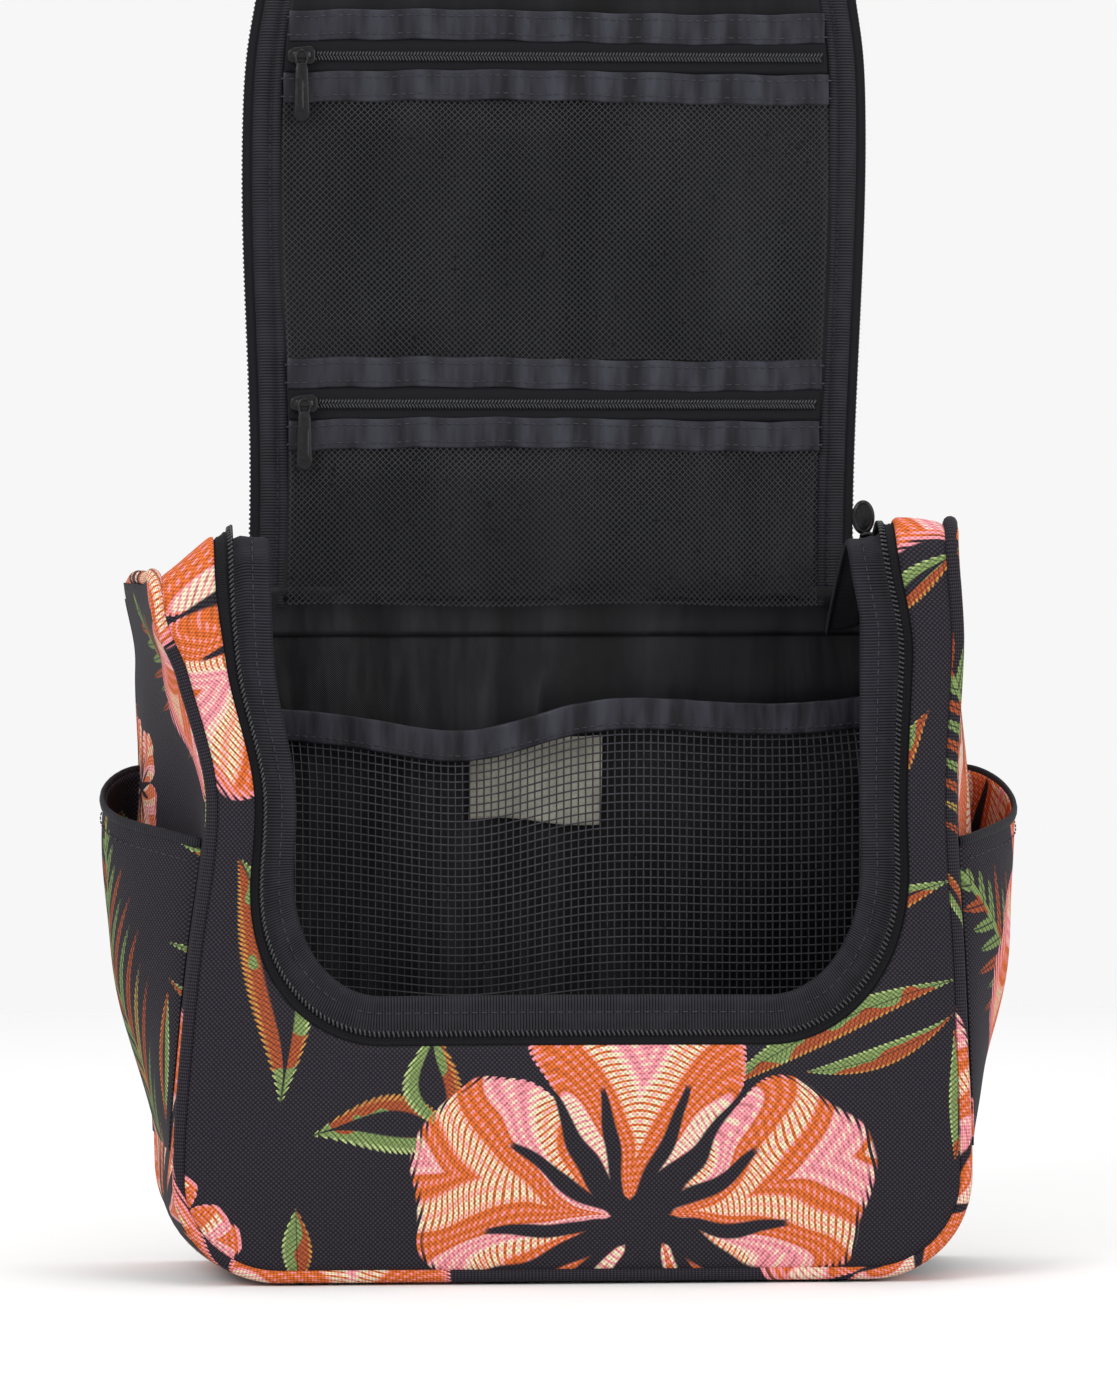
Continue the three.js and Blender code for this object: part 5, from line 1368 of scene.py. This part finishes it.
def ring_loop(name, centre, first, second, wide, high, wire):
    """A closed wire oval about a centre: a circle of points carried round an ellipse."""
    turn = np.linspace(0, 2 * np.pi, 28, endpoint=False)[:, None]
    path = centre + np.cos(turn) * first * wide + np.sin(turn) * second * high
    out = unit(np.cos(turn) * first * high + np.sin(turn) * second * wide)
    third = np.cross(first, second)
    around = np.linspace(0, 2 * np.pi, 8, endpoint=False)[None, :, None]
    points = path[:, None] + wire * (np.cos(around) * out[:, None] + np.sin(around) * third)
    return volume_check(lay_grid(name, points, None, wrap_rows=True, wrap_columns=True))


lid_out = np.array([0.0, -math.cos(LEAN), math.sin(LEAN)])
lid_up = np.array([0.0, math.sin(LEAN), math.cos(LEAN)])
lid_across = np.array([1.0, 0.0, 0.0])
PULL_X = -83.5
for name, s in (("lower", 68.7), ("upper", 181.7)):
    place = on_lid(PULL_X, -9.0, s)
    slider_outline = rounded(9.2, 6.6, 2.4)
    slider_outline[:, 1] *= np.interp(slider_outline[:, 0], [-4.6, 4.6], [0.72, 1.0])
    slider = plaque(name + "_slider_body", slider_outline, 1.6, 0.6, place, lid_across, lid_up, lid_out)
    sewn(slider, painted_metal, "slider_metal", name + "_slider", "slider_" + name)
    bridge_turn = np.linspace(0, np.pi, 14)
    bridge_x = PULL_X + 3.4 * np.cos(bridge_turn)
    bridge_path = on_lid(bridge_x, -9.6 - 1.3 * np.sin(bridge_turn) ** 0.7, s)
    bridge = strap(
        name + "_slider_bridge", bridge_path, lid_up, lid_out, 2.0, 0.7, painted_metal
    )
    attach(bridge, name + "_slider")
    eye = on_lid(PULL_X, -11.0, s - 1.2)
    loop = ring_loop(name + "_pull_ring", eye, lid_across, lid_up, 1.9, 2.6, 0.55)
    sewn(loop, painted_metal, "slider_metal", name + "_pull")
    drop = np.array([
        [-1.5, -2.6], [1.5, -2.6], [2.0, -4.5], [2.5, -18.5], [2.35, -20.2], [1.4, -21.4], [0, -21.9],
        [-1.4, -21.4], [-2.35, -20.2], [-2.5, -18.5], [-2.0, -4.5],
    ])
    pull = plaque(
        name + "_pull_tongue", drop, 1.3, 0.45, on_lid(PULL_X, -11.0, s), lid_across, lid_up, lid_out
    )
    sewn(pull, painted_metal, "slider_metal", name + "_pull", "pull_" + name)
    inset = rounded(2.6, 11.5, 1.1, 6)
    panel = plaque(
        name + "_pull_panel", inset, 0.5, 0.2, on_lid(PULL_X, -11.6, s - 13), lid_across, lid_up, lid_out
    )
    sewn(panel, painted_metal, "slider_metal", name + "_pull")

# ---------------------------------------------------------------------------
# Main slider: a wider cast slider on the right shoulder's fall, with its oval pull
# standing on edge beside the lid, and the zip's loose tail folded in below it.
# ---------------------------------------------------------------------------
slider_low, slider_high = (np.array(c) * 1000 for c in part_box("main_slider"))
slider_mid = slump((slider_low + slider_high) / 2)
down_fall = np.array([0.0, math.cos(ZIP_FALL), -math.sin(ZIP_FALL)])
off_fall = np.array([0.0, math.sin(ZIP_FALL), math.cos(ZIP_FALL)])
wedge = rounded(6.4, 10.4, 2.0)
wedge[:, 0] *= np.interp(wedge[:, 1], [-5.2, 5.2], [1.0, 0.72])
top_plate = plaque(
    "main_slider_top", wedge, 1.2, 0.5, slider_mid + off_fall * 1.4, lid_across, down_fall, off_fall
)
sewn(top_plate, painted_metal, "slider_metal", "zip_slider", "main_slider")
under_plate = plaque(
    "main_slider_base", wedge * 0.96, 1.1, 0.45, slider_mid - off_fall * 1.7, lid_across, down_fall,
    off_fall
)
sewn(under_plate, painted_metal, "slider_metal", "zip_slider")
neck = plaque(
    "main_slider_neck", rounded(2.2, 3.6, 1.0), 3.4, 0.3, slider_mid - down_fall * 2.6, lid_across,
    down_fall, off_fall
)
sewn(neck, painted_metal, "slider_metal", "zip_slider")
arch_turn = np.linspace(0, np.pi, 16)[:, None]
arch_path = slider_mid + off_fall * (1.7 + 1.9 * np.sin(arch_turn)) + down_fall * 3.2 * np.cos(arch_turn)
arch = strap("main_slider_bridge", arch_path, lid_across, off_fall, 1.9, 0.8, painted_metal)
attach(arch, "zip_slider")
pull_low, pull_high = (np.array(c) * 1000 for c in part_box("main_pull"))
pull_mid = slump((pull_low + pull_high) / 2) + [-1.5, 0, 0]
oval_turn = np.linspace(0, 2 * np.pi, 40, endpoint=False)
half_wide = (pull_high[0] - pull_low[0]) / 2
half_tall = (pull_high[2] - pull_low[2]) / 2
oval = np.stack([half_wide * np.cos(oval_turn), half_tall * np.sin(oval_turn)], -1)
upright = np.array([0.0, 0.0, 1.0])
toward = np.array([0.0, -1.0, 0.0])
main_oval = plaque("main_pull_oval", oval, 1.8, 0.8, pull_mid, lid_across, upright, toward)
sewn(main_oval, painted_metal, "slider_metal", "zip_pull", "main_pull")
main_rim = ring_loop(
    "main_pull_rim", pull_mid + toward * 0.7, lid_across, upright, half_wide - 0.9, half_tall - 0.9, 0.42
)
sewn(main_rim, painted_metal, "slider_metal", "zip_pull")
tail_share = np.linspace(0, 1, 40)
tail_path = np.stack([
    93.5 + 2.0 * np.sin(tail_share * np.pi) - 6.5 * tail_share,
    24.0 + 10.0 * tail_share,
    231.5 - 24.0 * tail_share,
], -1)
tail_side = unit(
    np.stack([np.cos(tail_share * 1.2 + 0.3), -0.6 + 0 * tail_share, np.sin(tail_share * 1.2)], -1)
)
tail_lift = unit(np.cross(np.gradient(tail_path, axis=0), tail_side))
tail = strap(
    "zip_tail_folded", tail_path, tail_side, tail_lift,
    4.5 - 2 * tail_share + 2.5 * np.sin(tail_share * np.pi), 1.8, tape_finish
)
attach(tail, "bag")

# ---------------------------------------------------------------------------
# Webbing: a carry handle stitched flat to the lid's top at both ends, and a short
# tab at the lid's tip that holds the folding hook. Both are woven polypropylene.
# ---------------------------------------------------------------------------
webbing, bench, surface, cloth = finish_of("woven_webbing", 0.6)
warp_run = bench.node("SeparateXYZ", cloth).node.outputs
chevron = bench.plus(warp_run[0], bench.maths("PINGPONG", warp_run[1], 2.5))
yarns = bench.times_plus(bench.sine(bench.times(chevron, 2 * math.pi / 1.3)), 0.5, 0.5)
# Painted highlight on the raised chevron yarns and painted shade in the grooves between them.
bench.plug(surface.inputs["Base Color"], bench.mix(yarns, srgb("141316"), srgb("302f34")))
bench.plug(surface.inputs["Roughness"], bench.step(yarns, 0.0, 1.0, 0.7, 0.5))
bench.plug(surface.inputs["Normal"], bench.bump(0.5, 0.0003, yarns))
handle_t = np.linspace(-1, 1, 80)
handle_rise = ease(1 - np.abs(handle_t), 0.22, 0.75)
handle_path = on_lid(handle_t * 44, 3.9 + 9.5 * handle_rise, 46.0)
handle_run = np.gradient(handle_path, axis=0)
handle_lift = unit(np.cross(handle_run, lid_up))
handle = strap("carry_handle_webbing", handle_path, lid_up, handle_lift, 19.5, 1.7, webbing)
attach(handle, "lid_top")
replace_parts(handle, "carry_handle")
for hand in (-1, 1):
    box_turn = np.array([[-4, -7.5], [4, -7.5], [4, 7.5], [-4, 7.5], [-4, -7.5], [4, 7.5]])
    box_line = evenly(on_lid(hand * 38.5 + box_turn[:, 0], 5.0, 46.0 + box_turn[:, 1]), 1.0)
    stitches(
        f"handle_box_stitch_{'left' if hand < 0 else 'right'}", box_line, -lid_out, "lid_top", 2.8, 1.9
    )
tab_s = np.linspace(231, 262.5, 50)
tab_path = on_lid(0, 2.1 + 1.2 * ease(tab_s, 231, 240), tab_s)
tab = strap("hanger_tab_webbing", tab_path, lid_across, -lid_out, 24.0, 1.5, webbing)
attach(tab, "lid_front")
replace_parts(tab, "hanger_tab")
tab_box = np.array([[-9, 234], [9, 234], [9, 246], [-9, 246], [-9, 234], [9, 246]])
stitches(
    "tab_box_stitch", evenly(on_lid(tab_box[:, 0], 4.2, tab_box[:, 1]), 1.0), -lid_out, "lid_front", 2.8,
    1.9
)

# ---------------------------------------------------------------------------
# Hook: a moulded nylon hook that swivels in a folding base on the tab. The hook
# is one round section, thicker at its root, that ends in a ball.
# ---------------------------------------------------------------------------
moulded, bench, surface, _ = finish_of("moulded_nylon", 0.42)
place = bench.object_place()
grain = bench.node("TexNoise", place, None, 2.2, 3.0, out=0)
flow = bench.node("TexNoise", place, None, 0.12, 1.0, out=0)
bench.plug(surface.inputs["Base Color"], bench.mix(flow, srgb("151417"), srgb("2a292d")))
bench.plug(surface.inputs["Roughness"], bench.step(grain, 0.25, 0.8, 0.36, 0.52))
bench.plug(surface.inputs["Normal"], bench.bump(0.12, 0.0001, grain))
base_plate = plaque(
    "hook_base_block", rounded(18.0, 9.2, 3.0), 5.0, 1.3, on_lid(0, 5.0, 269.5), lid_across, lid_up,
    -lid_out
)
sewn(base_plate, moulded, "hook_plastic", "hook_mount", "hook_base")
collar = ring_loop("hook_base_collar", on_lid(0, 5.0, 274.0), lid_across, lid_out, 3.0, 2.2, 0.6)
sewn(collar, moulded, "hook_plastic", "hook_mount")
stem_s = np.linspace(274.6, 286.6, 10)
bend = np.radians(np.linspace(-90, 200, 90))
hook_x = np.r_[np.zeros(10), 17.0 * np.cos(bend)]
hook_s = np.r_[stem_s, 303.6 + 17.0 * np.sin(bend)]
hook_radius = np.r_[np.linspace(3.0, 2.5, 10), np.linspace(2.5, 2.2, 86), 2.6, 2.5, 1.8, 0.5]
hook_path = on_lid(hook_x, 5.0, hook_s)
hook_run = unit(np.gradient(hook_path, axis=0))
hook_side = unit(np.cross(hook_run, lid_out))
around = np.linspace(0, 2 * np.pi, 16, endpoint=False)[None, :, None]
hook_ring = hook_path[:, None] + hook_radius[:, None, None] * (
    np.cos(around) * hook_side[:, None] + np.sin(around) * lid_out
)
hook = volume_check(close_ends(lay_grid("swivel_hook", hook_ring, None, wrap_columns=True), 16))
sewn(hook, moulded, "hook_plastic", "hook", "hanging_hook")

size = {"cad": [list(cad_low), list(cad_high)], "visual": [list(c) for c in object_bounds()]}
